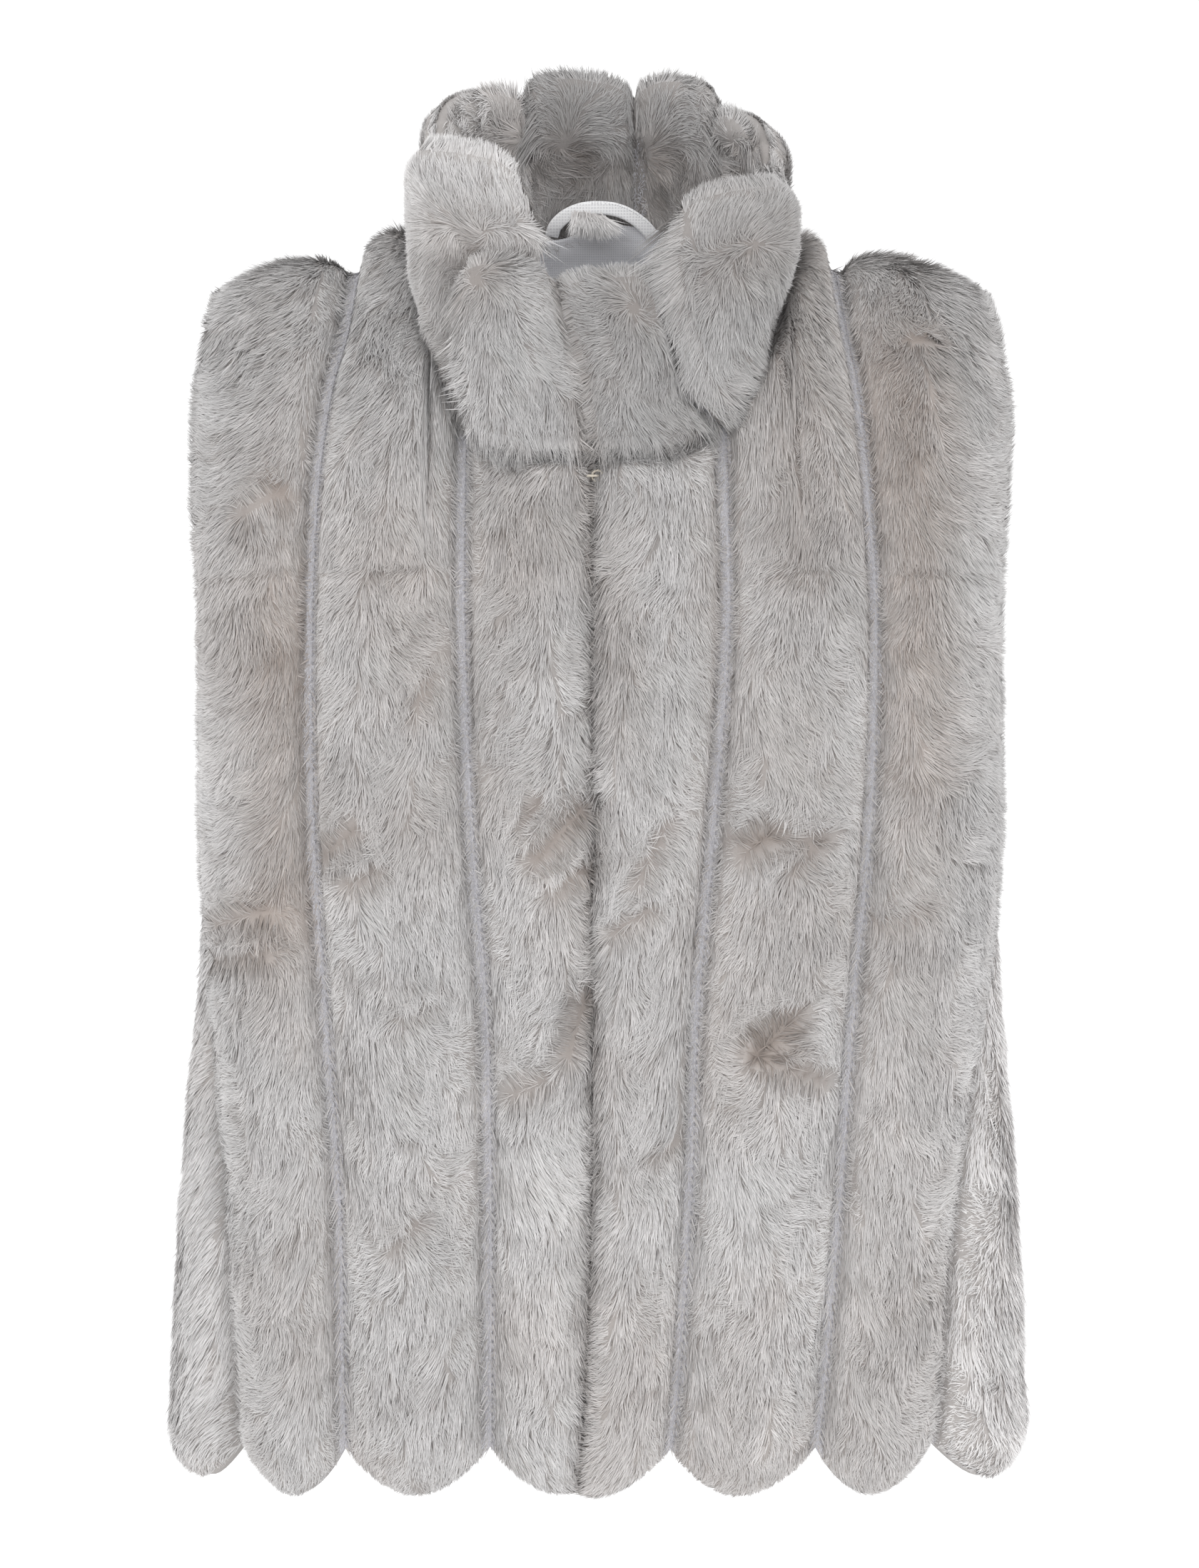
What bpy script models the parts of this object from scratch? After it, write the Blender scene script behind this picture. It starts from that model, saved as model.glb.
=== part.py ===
"""Faux fur vest, hollow as worn.

Sixteen upright fur pelts make the body and eight make the stand collar. Each pelt is one closed
solid: a plain inner face on the garment's shell and an outer face raised to the tips of the pile,
low along the sheared seams and scalloped at its free end. Left is -X and the front faces -Y. The
origin is midway between the shoulders. Sizes below are in millimetres.
"""

import bpy
import numpy as np

MM = 0.001

# Driving sizes of the cloth and its pile
SEAM_GAP = 0.3
BACKING = 2.5
PILE = 19.5
SHEARED_MARGIN = 4.5
ROLL_POWER = 2.6
HEM_THICKNESS = 7.0
HEM_ROUNDING = 22.0
NECK_MARGIN = 3.6
NECK_TAPER_SLOPE = 0.8
SHARP_EDGE = 50.0
SHOULDER_SLOPE = 0.31
SHOULDER_ROUNDING = 30.0

# Hem scallops
SCALLOP_DEPTH = 24.0
SCALLOP_POWER = 2.0

# Neck ring in plan
NECK_CENTRE_X = 4.0
NECK_CENTRE_Y = -14.0
NECK_HALF_WIDTH = 90.0
NECK_FRONT_DEPTH = 87.0
NECK_BACK_DEPTH = 77.0
NECK_SQUARENESS = 2.5
NECK_FRONT_SQUARENESS = {"left": 5.0, "right": 3.5}

# Collar
COLLAR_PILE_OUT = 17.0
COLLAR_PILE_IN = 9.0
COLLAR_BACKING = 2.4
# Where the shoulder's pile crowds the collar it sits higher: turn, spread and lift
COLLAR_LIFTS = ((82.0, 14.0, 1.6), (262.0, 18.0, 0.6))
COLLAR_EDGE = 5.0
COLLAR_GAP = 0.9
COLLAR_NARROWING = 0.055
COLLAR_SWAY = -5.0
COLLAR_HEIGHT = 105.0
COLLAR_ROUNDING = 16.0
COLLAR_PELT_WIDTH = 66.0
COLLAR_ROWS = 7
# The left end of the collar lies over the pressed pile of the pelt beside it
LAP_PRESSED = 5.8
LAP_PLAY = 1.6
LAP_TURNS = (-11.0, -1.5)
PRESSED_TURNS = (56.0, 43.0)
PRESSED_HEIGHTS = (22.0, 6.0)

# Side pelts under the armholes
UNDERARM_STATIONS = (4.2, 4.8)
UNDERARM_POWER = 3.0
UNDERARM_PILE = 0.1
UNDERARM_FADE = 2.6
SIDE_GAP = 0.9
SIDE_PELT_WIDTH = 72.0
SIDE_HEM = -648.0

# Columns over the crown of a pelt, and rounds in which a pelt's end settles on the neck ring
CROWN_COLUMNS = 7
SETTLING_ROUNDS = 12
# Rows of points up a pelt: distances from the hem, then stations of the level table
HEM_ROWS = (0.0, 2.5, 7.0, 14.0, 22.0)
FIRST_COMMON = 1.2
COMMON_STEP = 0.6
LAST_COMMON = 5.4
TOP_ROWS = 8
SIDE_LAST_COMMON = 3.6
SIDE_TOP_ROWS = 2
STATION_LENGTH = 72.0
RIDGE_STATION_LENGTH = 33.0

COLUMNS = (
    "height", "slope_share", "half_width", "front_depth", "back_depth", "squareness",
    "left_edge", "left_outer", "left_inner", "centre", "right_inner", "right_outer", "right_edge",
)
# One row for each level of the body, from the hem up to the ridge of the shoulders
LEVELS = (
    (-665, 0.00, 212, 113, 109, 2.5, -182, -131, -57, -13, 30, 107, 168),
    (-600, 0.00, 211, 112, 107, 2.5, -182, -133, -57, -8, 39, 115, 171),
    (-500, 0.00, 207, 109, 102, 2.6, -187, -135, -57, -4, 46, 124, 179),
    (-400, 0.00, 204, 106, 97, 2.8, -194, -142, -59, -4, 50, 131, 192),
    (-300, 0.00, 206, 105, 95, 3.0, -200, -149, -67, -4, 59, 140, 201),
    (-200, 0.00, 211, 107, 98, 2.8, -201, -150, -71, -4, 66, 143, 201),
    (-120, 0.15, 219, 103, 99, 2.6, -205, -147, -71, -4, 65, 139, 206),
    (-60, 0.45, 221, 86, 95, 2.5, -206, -141, -69, -4, 63, 134, 208),
    (-20, 0.80, 221, 60, 84, 2.5, -206, -134, -67, -4, 62, 129, 208),
    (12, 0.95, 220, 32, 66, 2.5, -205, -130, -66, -4, 62, 125, 207),
    (24, 1.00, 219, 0, 0, 2.5, -203, -129, -66, -4, 62, 124, 205),
)
RIDGE = len(LEVELS) - 1
BACK_HEM = 2 * RIDGE

# Pelts of the body, from one seam to the next, with the kind of edge on each side
BODY_PELTS = (
    # name, from, to, edge at from, edge at to, lowest point of the hem scallop
    ("left_outer", "left_edge", "left_outer", "free", "seam", -653),
    ("left_middle", "left_outer", "left_inner", "seam", "seam", -651),
    ("left_centre", "left_inner", "centre", "seam", "meeting", -650),
    ("right_centre", "centre", "right_inner", "meeting", "seam", -652),
    ("right_middle", "right_inner", "right_outer", "seam", "seam", -651),
    ("right_outer", "right_outer", "right_edge", "seam", "free", -652),
)
# Margin beside the seam, and how far the roll of the pile starts past it, as shares of the width
EDGES = {
    "seam": (SHEARED_MARGIN, 0.0),
    "meeting": (0.6, 0.035),
    "free": (0.6, 0.045),
}

# Collar pelts in order round the neck, with the height of the rim at each end and at the middle
COLLAR_PELTS = (
    # name, front edge, rear edge, rim at front edge, rim at middle, rim at rear edge
    ("left_end", "crease", "left_end_seam", -14, -1, -10),
    ("left_front", "left_front_edge", "left_front_seam", 48, 62, 52),
    ("left_side", "left_front_seam", "left_side_seam", 70, 100, 92),
    ("left_back", "left_side_seam", "back_seam", 100, 113, 98),
    ("right_back", "back_seam", "right_back_seam", 98, 111, 94),
    ("right_side", "right_back_seam", "right_side_seam", 82, 86, 58),
    ("right_front", "right_side_seam", "right_front_edge", 36, 42, 28),
    ("right_end", "right_end_seam", "crease", -10, -8, -16),
)
# Collar seams: plan angle in degrees at rising heights; 0 is front centre, 90 is left, 270 right
COLLAR_SEAMS = {
    "crease": ((-115, 3), (-72, 5), (-45, 9), (-14, 14)),
    "left_end_seam": ((-105, 35.5), (-60, 38.5), (-5, 39)),
    "left_front_edge": ((-110, 27), (3, 16.5), (20, 20.5), (52, 26)),
    "left_front_seam": ((-10, 97), (60, 97)),
    "left_side_seam": ((0, 157), (100, 157)),
    "back_seam": ((0, 189), (100, 189)),
    "right_back_seam": ((0, 225), (100, 223)),
    "right_side_seam": ((-10, 266), (60, 268)),
    "right_end_seam": ((-95, 326), (-74, 338), (-14, 348)),
    "right_front_edge": ((-95, 326), (-74, 338), (-14, 348), (4, 345), (34, 335)),
}

# Small pieces at the neck
LINING_HALF_WIDTH = 56.0
LINING_FIRST_ROW = 2
LINING_COLUMNS = 13
LINING_THICKNESS = 1.2
LINING_OFF_WALL = 1.35
LOOP_TURNS = (165.5, 192.5)
LOOP_COLUMNS = 15
LOOP_WIDTH = 8.0
LOOP_THICKNESS = 1.4
LOOP_FOOT = 5.0
LOOP_RISE = 13.0
LOOP_ARCH_POWER = 0.7
LOOP_SEAT = 4.3
LOOP_STAND_OFF = 10.0
# The fastener: its place where the hook bends, and the half height of the bend
FASTENER_X = -2.5
FASTENER_Y = -111.9
FASTENER_Z = -119.0
WIRE = 1.3
HOOK_HALF_HEIGHT = 1.7
HOOK_LONG_ARM = 10.0
HOOK_SHORT_ARM = 4.0
EYE_RADIUS = 2.9
EYE_LEFT = -3.9
EYE_OPENING = 20
EYE_POINTS = 11
HOOK_POINTS = 7

FUR_GREY = (0.47, 0.45, 0.435, 1.0)
COLLAR_GREY = (0.44, 0.42, 0.41, 1.0)
LINING_GREY = (0.55, 0.55, 0.57, 1.0)
LOOP_GREY = (0.72, 0.72, 0.73, 1.0)
STEEL = (0.35, 0.35, 0.36, 1.0)


def clear_scene():
    for old in list(bpy.data.objects):
        bpy.data.objects.remove(old, do_unlink=True)


def paths_over_the_shoulder():
    """Each column of the level table carried from the front hem over the ridge to the back hem."""
    table = {name: np.array([row[i] for row in LEVELS], float) for i, name in enumerate(COLUMNS)}
    paths = {name: np.concatenate([rows, rows[-2::-1]]) for name, rows in table.items()}
    paths["depth"] = np.concatenate([-table["front_depth"], table["back_depth"][-2::-1]])
    return paths


PATHS = paths_over_the_shoulder()


def level(column, s):
    """A column of the level table at station s, as a smooth curve through its rows."""
    rows = PATHS[column]
    last = len(rows) - 1
    s = np.clip(s, 0, last)
    i = np.minimum(np.floor(s).astype(int), last - 1)
    f = s - i
    a, b, c, d = rows[np.maximum(i - 1, 0)], rows[i], rows[i + 1], rows[np.minimum(i + 2, last)]
    return b + 0.5 * f * (c - a + f * (2 * a - 5 * b + 4 * c - d + f * (3 * (b - c) + d - a)))


def shell(x, s):
    """Point of the garment's inner shell at width x and station s."""
    square = level("squareness", s)
    reach = np.clip(np.abs(x) / level("half_width", s), 0, 0.9999)
    y = level("depth", s) * (1 - reach**square) ** (1 / square)
    fall = np.hypot(x, SHOULDER_ROUNDING) - SHOULDER_ROUNDING
    z = level("height", s) - level("slope_share", s) * SHOULDER_SLOPE * fall
    return np.stack(np.broadcast_arrays(x, y, z), axis=-1)


def side_shell(turn, s, side):
    """Point of the shell beside the underarm; turn runs from -90 at the front to 90 at the back."""
    angle = np.radians(turn)
    square = level("squareness", s)
    width = side * level("half_width", s) * np.cos(angle) ** (2 / square)
    deep = np.abs(np.sin(angle)) ** (2 / square)
    front = level("depth", s)
    back = level("depth", BACK_HEM - s)
    y = np.where(angle < 0, front * deep, back * deep)
    return np.stack(np.broadcast_arrays(width, y, level("height", s)), axis=-1)


def outward(surface, u, s, step_u=0.5, step_s=0.01):
    """Unit normals of a surface by central differences."""
    along_u = surface(u + step_u, s) - surface(u - step_u, s)
    along_s = surface(u, s + step_s) - surface(u, s - step_s)
    normal = np.cross(along_u, along_s)
    return normal / np.linalg.norm(normal, axis=-1, keepdims=True)


def station_at(x, wanted, column):
    """Station where the shell at width x reaches a height on the front, or a depth from y."""
    stations = np.linspace(0, BACK_HEM, 1601)
    found = []
    for one_x, one_wanted in zip(np.ravel(x), np.ravel(wanted)):
        points = shell(np.full_like(stations, one_x), stations)
        if column == "y":
            keep = (stations > RIDGE - 5) & (stations < RIDGE + 5)
            found.append(np.interp(one_wanted, points[keep, 1], stations[keep]))
        else:
            keep = stations <= RIDGE
            found.append(np.interp(one_wanted, points[keep, 2], stations[keep]))
    return np.array(found).reshape(np.shape(x))


def neck_squareness(to_left, to_front):
    """Squareness of the quarter of the neck ring that a point lies in."""
    front = np.where(to_left, NECK_FRONT_SQUARENESS["left"], NECK_FRONT_SQUARENESS["right"])
    return np.where(to_front, front, NECK_SQUARENESS)


def neck_plan(degrees):
    """The neck ring in plan; 0 is front centre and 90 is left."""
    angle = np.radians(degrees)
    sine, cosine = np.sin(angle), np.cos(angle)
    across = np.abs(sine) ** (2 / NECK_SQUARENESS)
    along = np.abs(cosine) ** (2 / NECK_SQUARENESS)
    power = neck_squareness(sine > 0, cosine > 0)
    reach = (across**power + along**power) ** (1 / power)
    depth = np.where(cosine > 0, NECK_FRONT_DEPTH, NECK_BACK_DEPTH)
    x = NECK_CENTRE_X - NECK_HALF_WIDTH * np.sign(sine) * across / reach
    y = NECK_CENTRE_Y - depth * np.sign(cosine) * along / reach
    return x, y


def neck_ring(degrees):
    """Points and normals of the shell along the neck seam."""
    x, y = neck_plan(degrees)
    s = station_at(x, y, "y")
    return shell(x, s), outward(shell, x, s)


RING_POINTS = neck_ring(np.linspace(0, 360, 241))[0]


def neck_distance(points):
    flat = points.reshape(-1, 1, 3)
    gaps = np.linalg.norm(flat - RING_POINTS[None], axis=-1)
    return gaps.min(axis=1).reshape(points.shape[:-1])


def neckline_station(x, towards_back):
    """Where a pelt ends at its top: on the neck seam, or at the ridge outside it."""
    reach = np.clip(np.abs(x - NECK_CENTRE_X) / NECK_HALF_WIDTH, 0, 1)
    power = neck_squareness(x < NECK_CENTRE_X, not towards_back)
    half = (1 - reach**power) ** (1 / power)
    y = NECK_CENTRE_Y + half * (NECK_BACK_DEPTH if towards_back else -NECK_FRONT_DEPTH)
    s = station_at(x, y, "y")
    inside = reach < 1
    s = np.maximum(s, RIDGE) if towards_back else np.minimum(s, RIDGE)
    return np.where(inside, s, RIDGE)


def roll(share, start, end):
    """Rise of the pile across a pelt, from 0 at its sheared margins to 1 along its crown."""
    centred = np.clip(np.abs(2 * (share - start) / (end - start) - 1), 0, 1)
    return (1 - centred**ROLL_POWER) ** (1 / ROLL_POWER)


def end_rounding(distance):
    """Share of the pile left at a distance from the hem, round like a quarter ellipse."""
    low = (HEM_THICKNESS - BACKING) / PILE
    away = np.clip(1 - distance / HEM_ROUNDING, 0, 1)
    return low + (1 - low) * np.sqrt(1 - away**2)


def neck_taper(points):
    rise = NECK_TAPER_SLOPE * np.clip(neck_distance(points) - NECK_MARGIN, 0, None)
    return np.tanh(rise / PILE)


def scallop(share, depth):
    """Drop of a scalloped end below its notches."""
    centred = np.clip(np.abs(2 * share - 1), 0, 1)
    return depth * (1 - centred**SCALLOP_POWER) ** (1 / SCALLOP_POWER)


def across_shares(width, edge_from, edge_to, crown_columns):
    """Shares across a pelt: its two edges, its margins, and the roll between them."""
    start = EDGES[edge_from][0] / width
    end = 1 - EDGES[edge_to][0] / width
    swing = np.linspace(0, np.pi, crown_columns)
    return np.concatenate([[0], start + (end - start) * (1 - np.cos(swing)) / 2, [1]])


def zip_faces(first, second, first_shares, second_shares):
    """Triangles between two rows of point numbers that cover the same width."""
    faces, i, j = [], 0, 0
    while i < len(first) - 1 or j < len(second) - 1:
        step_first = j == len(second) - 1 or (
            i < len(first) - 1 and first_shares[i + 1] <= second_shares[j + 1]
        )
        if step_first:
            faces.append((first[i], first[i + 1], second[j]))
            i += 1
        else:
            faces.append((first[i], second[j + 1], second[j]))
            j += 1
    return faces


def walled_solid(name, outer, inner, outer_shares, inner_shares, material):
    """One closed body between two grids of points that have the same number of rows."""
    rows, wide, narrow = len(outer), outer.shape[1], inner.shape[1]
    loop = wide + narrow
    vertices = np.concatenate([outer, inner[:, ::-1]], axis=1).reshape(-1, 3)
    faces = []
    for row in range(rows - 1):
        here, above = row * loop, (row + 1) * loop
        for k in range(loop):
            after = (k + 1) % loop
            faces.append((here + k, here + after, above + after, above + k))
    for row, flip in ((0, True), (rows - 1, False)):
        outer_ids = [row * loop + k for k in range(wide)]
        inner_ids = [row * loop + loop - 1 - k for k in range(narrow)]
        caps = zip_faces(outer_ids, inner_ids, outer_shares, inner_shares)
        faces += [face[::-1] for face in caps] if flip else caps
    return add_mesh(name, vertices, faces, material)


def add_mesh(name, vertices, faces, material):
    mesh = bpy.data.meshes.new(name)
    mesh.from_pydata((np.asarray(vertices) * MM).tolist(), [], faces)
    mesh.validate()
    mesh.shade_smooth()
    mesh.set_sharp_from_angle(angle=np.radians(SHARP_EDGE))
    mesh.materials.append(material)
    made = bpy.data.objects.new(name, mesh)
    COLLECTION.objects.link(made)
    return made


def principled(name, colour, roughness, metallic=0.0):
    material = bpy.data.materials.new(name)
    material.use_nodes = True
    shader = material.node_tree.nodes["Principled BSDF"]
    shader.inputs["Base Color"].default_value = colour
    shader.inputs["Roughness"].default_value = roughness
    shader.inputs["Metallic"].default_value = metallic
    material.diffuse_color = colour
    return material


def pelt_stations(bottom, top, last_common, top_rows):
    """Stations of each row: close together at the hem, shared by all pelts, then up to the top.

    They count from the hem of either side, so that neighbours meet row by row.
    """
    hem = bottom[None, :] + np.array(HEM_ROWS)[:, None] / STATION_LENGTH
    common = np.arange(FIRST_COMMON, last_common + 0.01, COMMON_STEP)
    common = np.repeat(common[:, None], len(bottom), axis=1)
    rise = np.linspace(0, 1, top_rows + 1)[1:, None]
    upper = last_common + (top[None, :] - last_common) * rise
    return np.concatenate([hem, common, upper])


def pelt_grids(surface, place, s, shares, pile_share):
    """Inner points of a pelt and the height of its outer face above them."""
    u = place(shares[None, :], s)
    inner = surface(u, s)
    hem_gap = np.linalg.norm(np.diff(inner, axis=0), axis=-1).cumsum(axis=0)
    hem_gap = np.concatenate([np.zeros((1, len(shares))), hem_gap])
    height = BACKING + PILE * pile_share(shares)[None, :] * end_rounding(hem_gap)
    height = BACKING + (height - BACKING) * neck_taper(inner)
    return inner, height, u


def body_pelt(row, towards_back, material):
    """One upright pelt of the front, or of the back."""
    name, edge_from, edge_to, kind_from, kind_to, low = row
    if towards_back:
        kind_from, kind_to = (k.replace("meeting", "seam") for k in (kind_from, kind_to))
    width = float(np.mean(PATHS[edge_to] - PATHS[edge_from]))
    shares = across_shares(width, kind_from, kind_to, CROWN_COLUMNS)
    inset = SEAM_GAP / 2 / width

    def place(share, s):
        share = inset + share * (1 - 2 * inset)
        return level(edge_from, s) * (1 - share) + level(edge_to, s) * share

    notch = low + SCALLOP_DEPTH
    at_hem = place(shares, np.full_like(shares, 0.4))
    hem = station_at(at_hem, notch - scallop(shares, SCALLOP_DEPTH), "z")
    top = np.full_like(shares, RIDGE)
    for _ in range(SETTLING_ROUNDS):
        top = neckline_station(place(shares, top), towards_back)
    top = (BACK_HEM - top if towards_back else top) - SEAM_GAP / 2 / RIDGE_STATION_LENGTH
    s = pelt_stations(hem, top, LAST_COMMON, TOP_ROWS)
    s = BACK_HEM - s if towards_back else s
    start = EDGES[kind_from][0] / width - EDGES[kind_from][1]
    end = 1 - EDGES[kind_to][0] / width + EDGES[kind_to][1]
    inner, height, u = pelt_grids(shell, place, s, shares, lambda t: roll(t, start, end))
    outer = inner + outward(shell, u, s) * height[..., None]
    keep = [0, 3, len(shares) - 4, len(shares) - 1]
    title = ("back_pelt_" if towards_back else "front_pelt_") + name
    if towards_back:
        outer, inner = outer[:, ::-1], inner[:, ::-1]
        shares = 1 - shares[::-1]
    return walled_solid(title, outer, inner[:, keep], shares, shares[keep], material)


def side_turn(x, s):
    """Plan angle from the side at which the shell has width x."""
    reach = np.clip(np.abs(x) / level("half_width", s), 0, 0.9999)
    return np.degrees(np.arccos(reach ** (level("squareness", s) / 2)))


def side_pelt(side, towards_back, material):
    """One pelt between the front or back pelts and the side seam, under the armhole."""
    edge = "left_edge" if side < 0 else "right_edge"
    width = SIDE_PELT_WIDTH
    shares = across_shares(width, "seam", "seam", CROWN_COLUMNS)
    inset = SIDE_GAP / 2 / width
    sign = 1 if towards_back else -1

    def place(share, s):
        share = inset + share * (1 - 2 * inset)
        return sign * share * side_turn(level(edge, s), s)

    def surface(turn, s):
        return side_shell(turn, s, side)

    notch = SIDE_HEM + SCALLOP_DEPTH
    middle = np.zeros_like(shares)
    hem = station_at(middle, notch - scallop(shares, SCALLOP_DEPTH), "z")
    middle_top, edge_top = UNDERARM_STATIONS
    top = middle_top + (edge_top - middle_top) * shares**UNDERARM_POWER
    s = pelt_stations(hem, top, SIDE_LAST_COMMON, SIDE_TOP_ROWS)
    start, end = EDGES["seam"][0] / width, 1 - EDGES["seam"][0] / width
    inner, height, u = pelt_grids(surface, place, s, shares, lambda t: roll(t, start, end))
    fade = UNDERARM_PILE + (1 - UNDERARM_PILE) * smooth(top[None, :] - s, 0, UNDERARM_FADE)
    height = BACKING + (height - BACKING) * fade
    normal = outward(surface, u, s) * (1 if side > 0 else -1)
    outer = inner + normal * height[..., None]
    keep = [0, 3, len(shares) - 4, len(shares) - 1]
    title = f"side_pelt_{'left' if side < 0 else 'right'}_{'back' if towards_back else 'front'}"
    if (side > 0) != towards_back:
        outer, inner = outer[:, ::-1], inner[:, ::-1]
        shares = 1 - shares[::-1]
    return walled_solid(title, outer, inner[:, keep], shares, shares[keep], material)


def smooth(value, zero_at, one_at):
    """Soft step from 0 to 1."""
    share = np.clip((value - zero_at) / (one_at - zero_at), 0, 1)
    return share * share * (3 - 2 * share)


def seam_angle(seam, height):
    heights, angles = np.array(COLLAR_SEAMS[seam], float).T
    return np.interp(height, heights, angles)


def turn_between(seams, heights, shares, width=COLLAR_PELT_WIDTH):
    """Plan angles across a collar tile, half a gap inside its two seams at their own heights."""
    front = seam_angle(seams[0], heights[0])
    rear = seam_angle(seams[1], heights[-1])
    if seams[1] == "crease":
        rear = rear + 360
    inset = COLLAR_GAP / 2 / width
    share = inset + shares * (1 - 2 * inset)
    return front * (1 - share) + rear * share


def collar_base(turn):
    """Middle of the collar's cloth where it is sewn on, above the edge of the body's cloth."""
    point, normal = neck_ring(turn)
    leaning = np.linalg.norm(normal[:, :2], axis=1)
    point = point + normal * (BACKING + SEAM_GAP + leaning * COLLAR_BACKING / 2)[:, None]
    for middle, spread, lift in COLLAR_LIFTS:
        point[:, 2] += lift * np.exp(-(((turn - middle) / spread) ** 2))
    return point


def collar_wall(turn, turn_low, base, share_up, height):
    """Middle of the collar's cloth and its outward direction at a share of the way up."""
    plan = np.stack(neck_plan(turn), axis=-1)
    risen = np.clip(height / COLLAR_HEIGHT, 0, 1)
    plan[:, 0] += risen * (COLLAR_SWAY - COLLAR_NARROWING * (plan[:, 0] - NECK_CENTRE_X))
    settle = np.reshape((1 - share_up) ** 2, (-1, 1))
    plan = plan + settle * (base[:, :2] - np.stack(neck_plan(turn_low), axis=-1))
    tangent = np.stack(neck_plan(turn + 0.5), axis=-1) - np.stack(neck_plan(turn - 0.5), axis=-1)
    normal = np.column_stack([-tangent[:, 1], tangent[:, 0], np.zeros(len(turn))])
    normal /= np.linalg.norm(normal, axis=1, keepdims=True)
    away = np.sign(np.sum(normal[:, :2] * (plan - [NECK_CENTRE_X, NECK_CENTRE_Y]), axis=1))
    return np.column_stack([plan, height]), normal * away[:, None]


def collar_rows(seams, base, rim):
    """Shares of the way up a tile at which it has points: even ones, and each bend of its seams."""
    shares = set(np.linspace(0, 1, COLLAR_ROWS).round(4))
    for seam, end in ((seams[0], 0), (seams[1], -1)):
        bends = [height for height, _ in COLLAR_SEAMS[seam]]
        ups = [(bend - base[end, 2]) / (rim[end] - base[end, 2]) for bend in bends]
        for up in ups:
            if 0.02 < up < 0.98:
                shares = {kept for kept in shares if kept in (0, 1) or abs(kept - up) > 0.06}
                shares.add(round(float(up), 4))
    return np.array(sorted(shares))


def collar_pelt(row, material):
    """One tile of the stand collar, furred outside and inside."""
    name, seam_front, seam_rear, rim_front, rim_middle, rim_rear = row
    seams = (seam_front, seam_rear)
    shares = across_shares(COLLAR_PELT_WIDTH, "seam", "seam", CROWN_COLUMNS)
    rim = rim_front * (1 - shares) + rim_rear * shares
    rim = rim + (rim_middle - (rim_front + rim_rear) / 2) * scallop(shares, 1)
    low = np.full_like(shares, -60)
    for _ in range(SETTLING_ROUNDS):
        turn_low = turn_between(seams, low, shares)
        base = collar_base(turn_low)
        low = base[:, 2]
    ups = collar_rows(seams, base, rim)
    middle = np.zeros((len(ups), len(shares), 3))
    outside = np.zeros_like(middle)
    turns = np.zeros(middle.shape[:2])
    for r, up in enumerate(ups):
        height = low + up * (rim - low)
        turns[r] = turn_between(seams, height, shares)
        middle[r], outside[r] = collar_wall(turns[r], turn_low, base, up, height)
    climb = np.linalg.norm(middle[-1] - middle[0], axis=-1)[None, :]
    from_seam = ups[:, None] * climb
    start = EDGES["seam"][0] / COLLAR_PELT_WIDTH
    crown = roll(shares, start, 1 - start)[None, :]
    least = (COLLAR_EDGE - COLLAR_BACKING) / COLLAR_PILE_OUT
    bevel = np.clip(1 - (climb - from_seam) / COLLAR_ROUNDING, 0, 1)
    ending = least + (1 - least) * np.sqrt(1 - bevel**2)
    rising = np.tanh(NECK_TAPER_SLOPE * np.clip(from_seam - NECK_MARGIN, 0, None) / PILE)
    pile = crown * ending * rising
    half = COLLAR_BACKING / 2
    pile_out, pile_in, lifted = COLLAR_PILE_OUT * pile, COLLAR_PILE_IN * pile, 0 * pile
    if name == "left_end":
        past_edge = turns - seam_angle("left_front_edge", middle[..., 2])
        under = smooth(past_edge, *LAP_TURNS)
        lifted = under * (COLLAR_BACKING + LAP_PRESSED + SEAM_GAP)
        pile_in = pile_in * (1 - under)
    if name == "left_front":
        under = smooth(turns, *PRESSED_TURNS) * smooth(middle[..., 2], *PRESSED_HEIGHTS)
        pile_out = pile_out * (1 - under) + np.minimum(pile_out, LAP_PRESSED - LAP_PLAY) * under
    outer = middle + outside * (half + pile_out + lifted)[..., None]
    inner = middle - outside * (half + pile_in - lifted)[..., None]
    outer, inner = outer[:, ::-1], inner[:, ::-1]
    shares = 1 - shares[::-1]
    return walled_solid("collar_pelt_" + name, outer, inner, shares, shares, material)


def neck_lining(material):
    """The woven lining below the back of the neck, laid on the inner face of the back pelts."""
    x = np.linspace(-LINING_HALF_WIDTH, LINING_HALF_WIDTH, LINING_COLUMNS)
    top = BACK_HEM - neckline_station(x, True) - SEAM_GAP / RIDGE_STATION_LENGTH
    rows = np.linspace(LAST_COMMON, top, TOP_ROWS + 1)[LINING_FIRST_ROW:]
    s = (BACK_HEM - rows)[::-1]
    x = np.repeat(x[None, :], len(s), axis=0)
    wall, normal = shell(x, s), outward(shell, x, s)
    far = wall - normal * LINING_OFF_WALL
    near = wall - normal * (LINING_OFF_WALL + LINING_THICKNESS)
    shares = np.linspace(0, 1, x.shape[1])
    return walled_solid("neck_lining", far, near, shares, shares, material)


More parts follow.
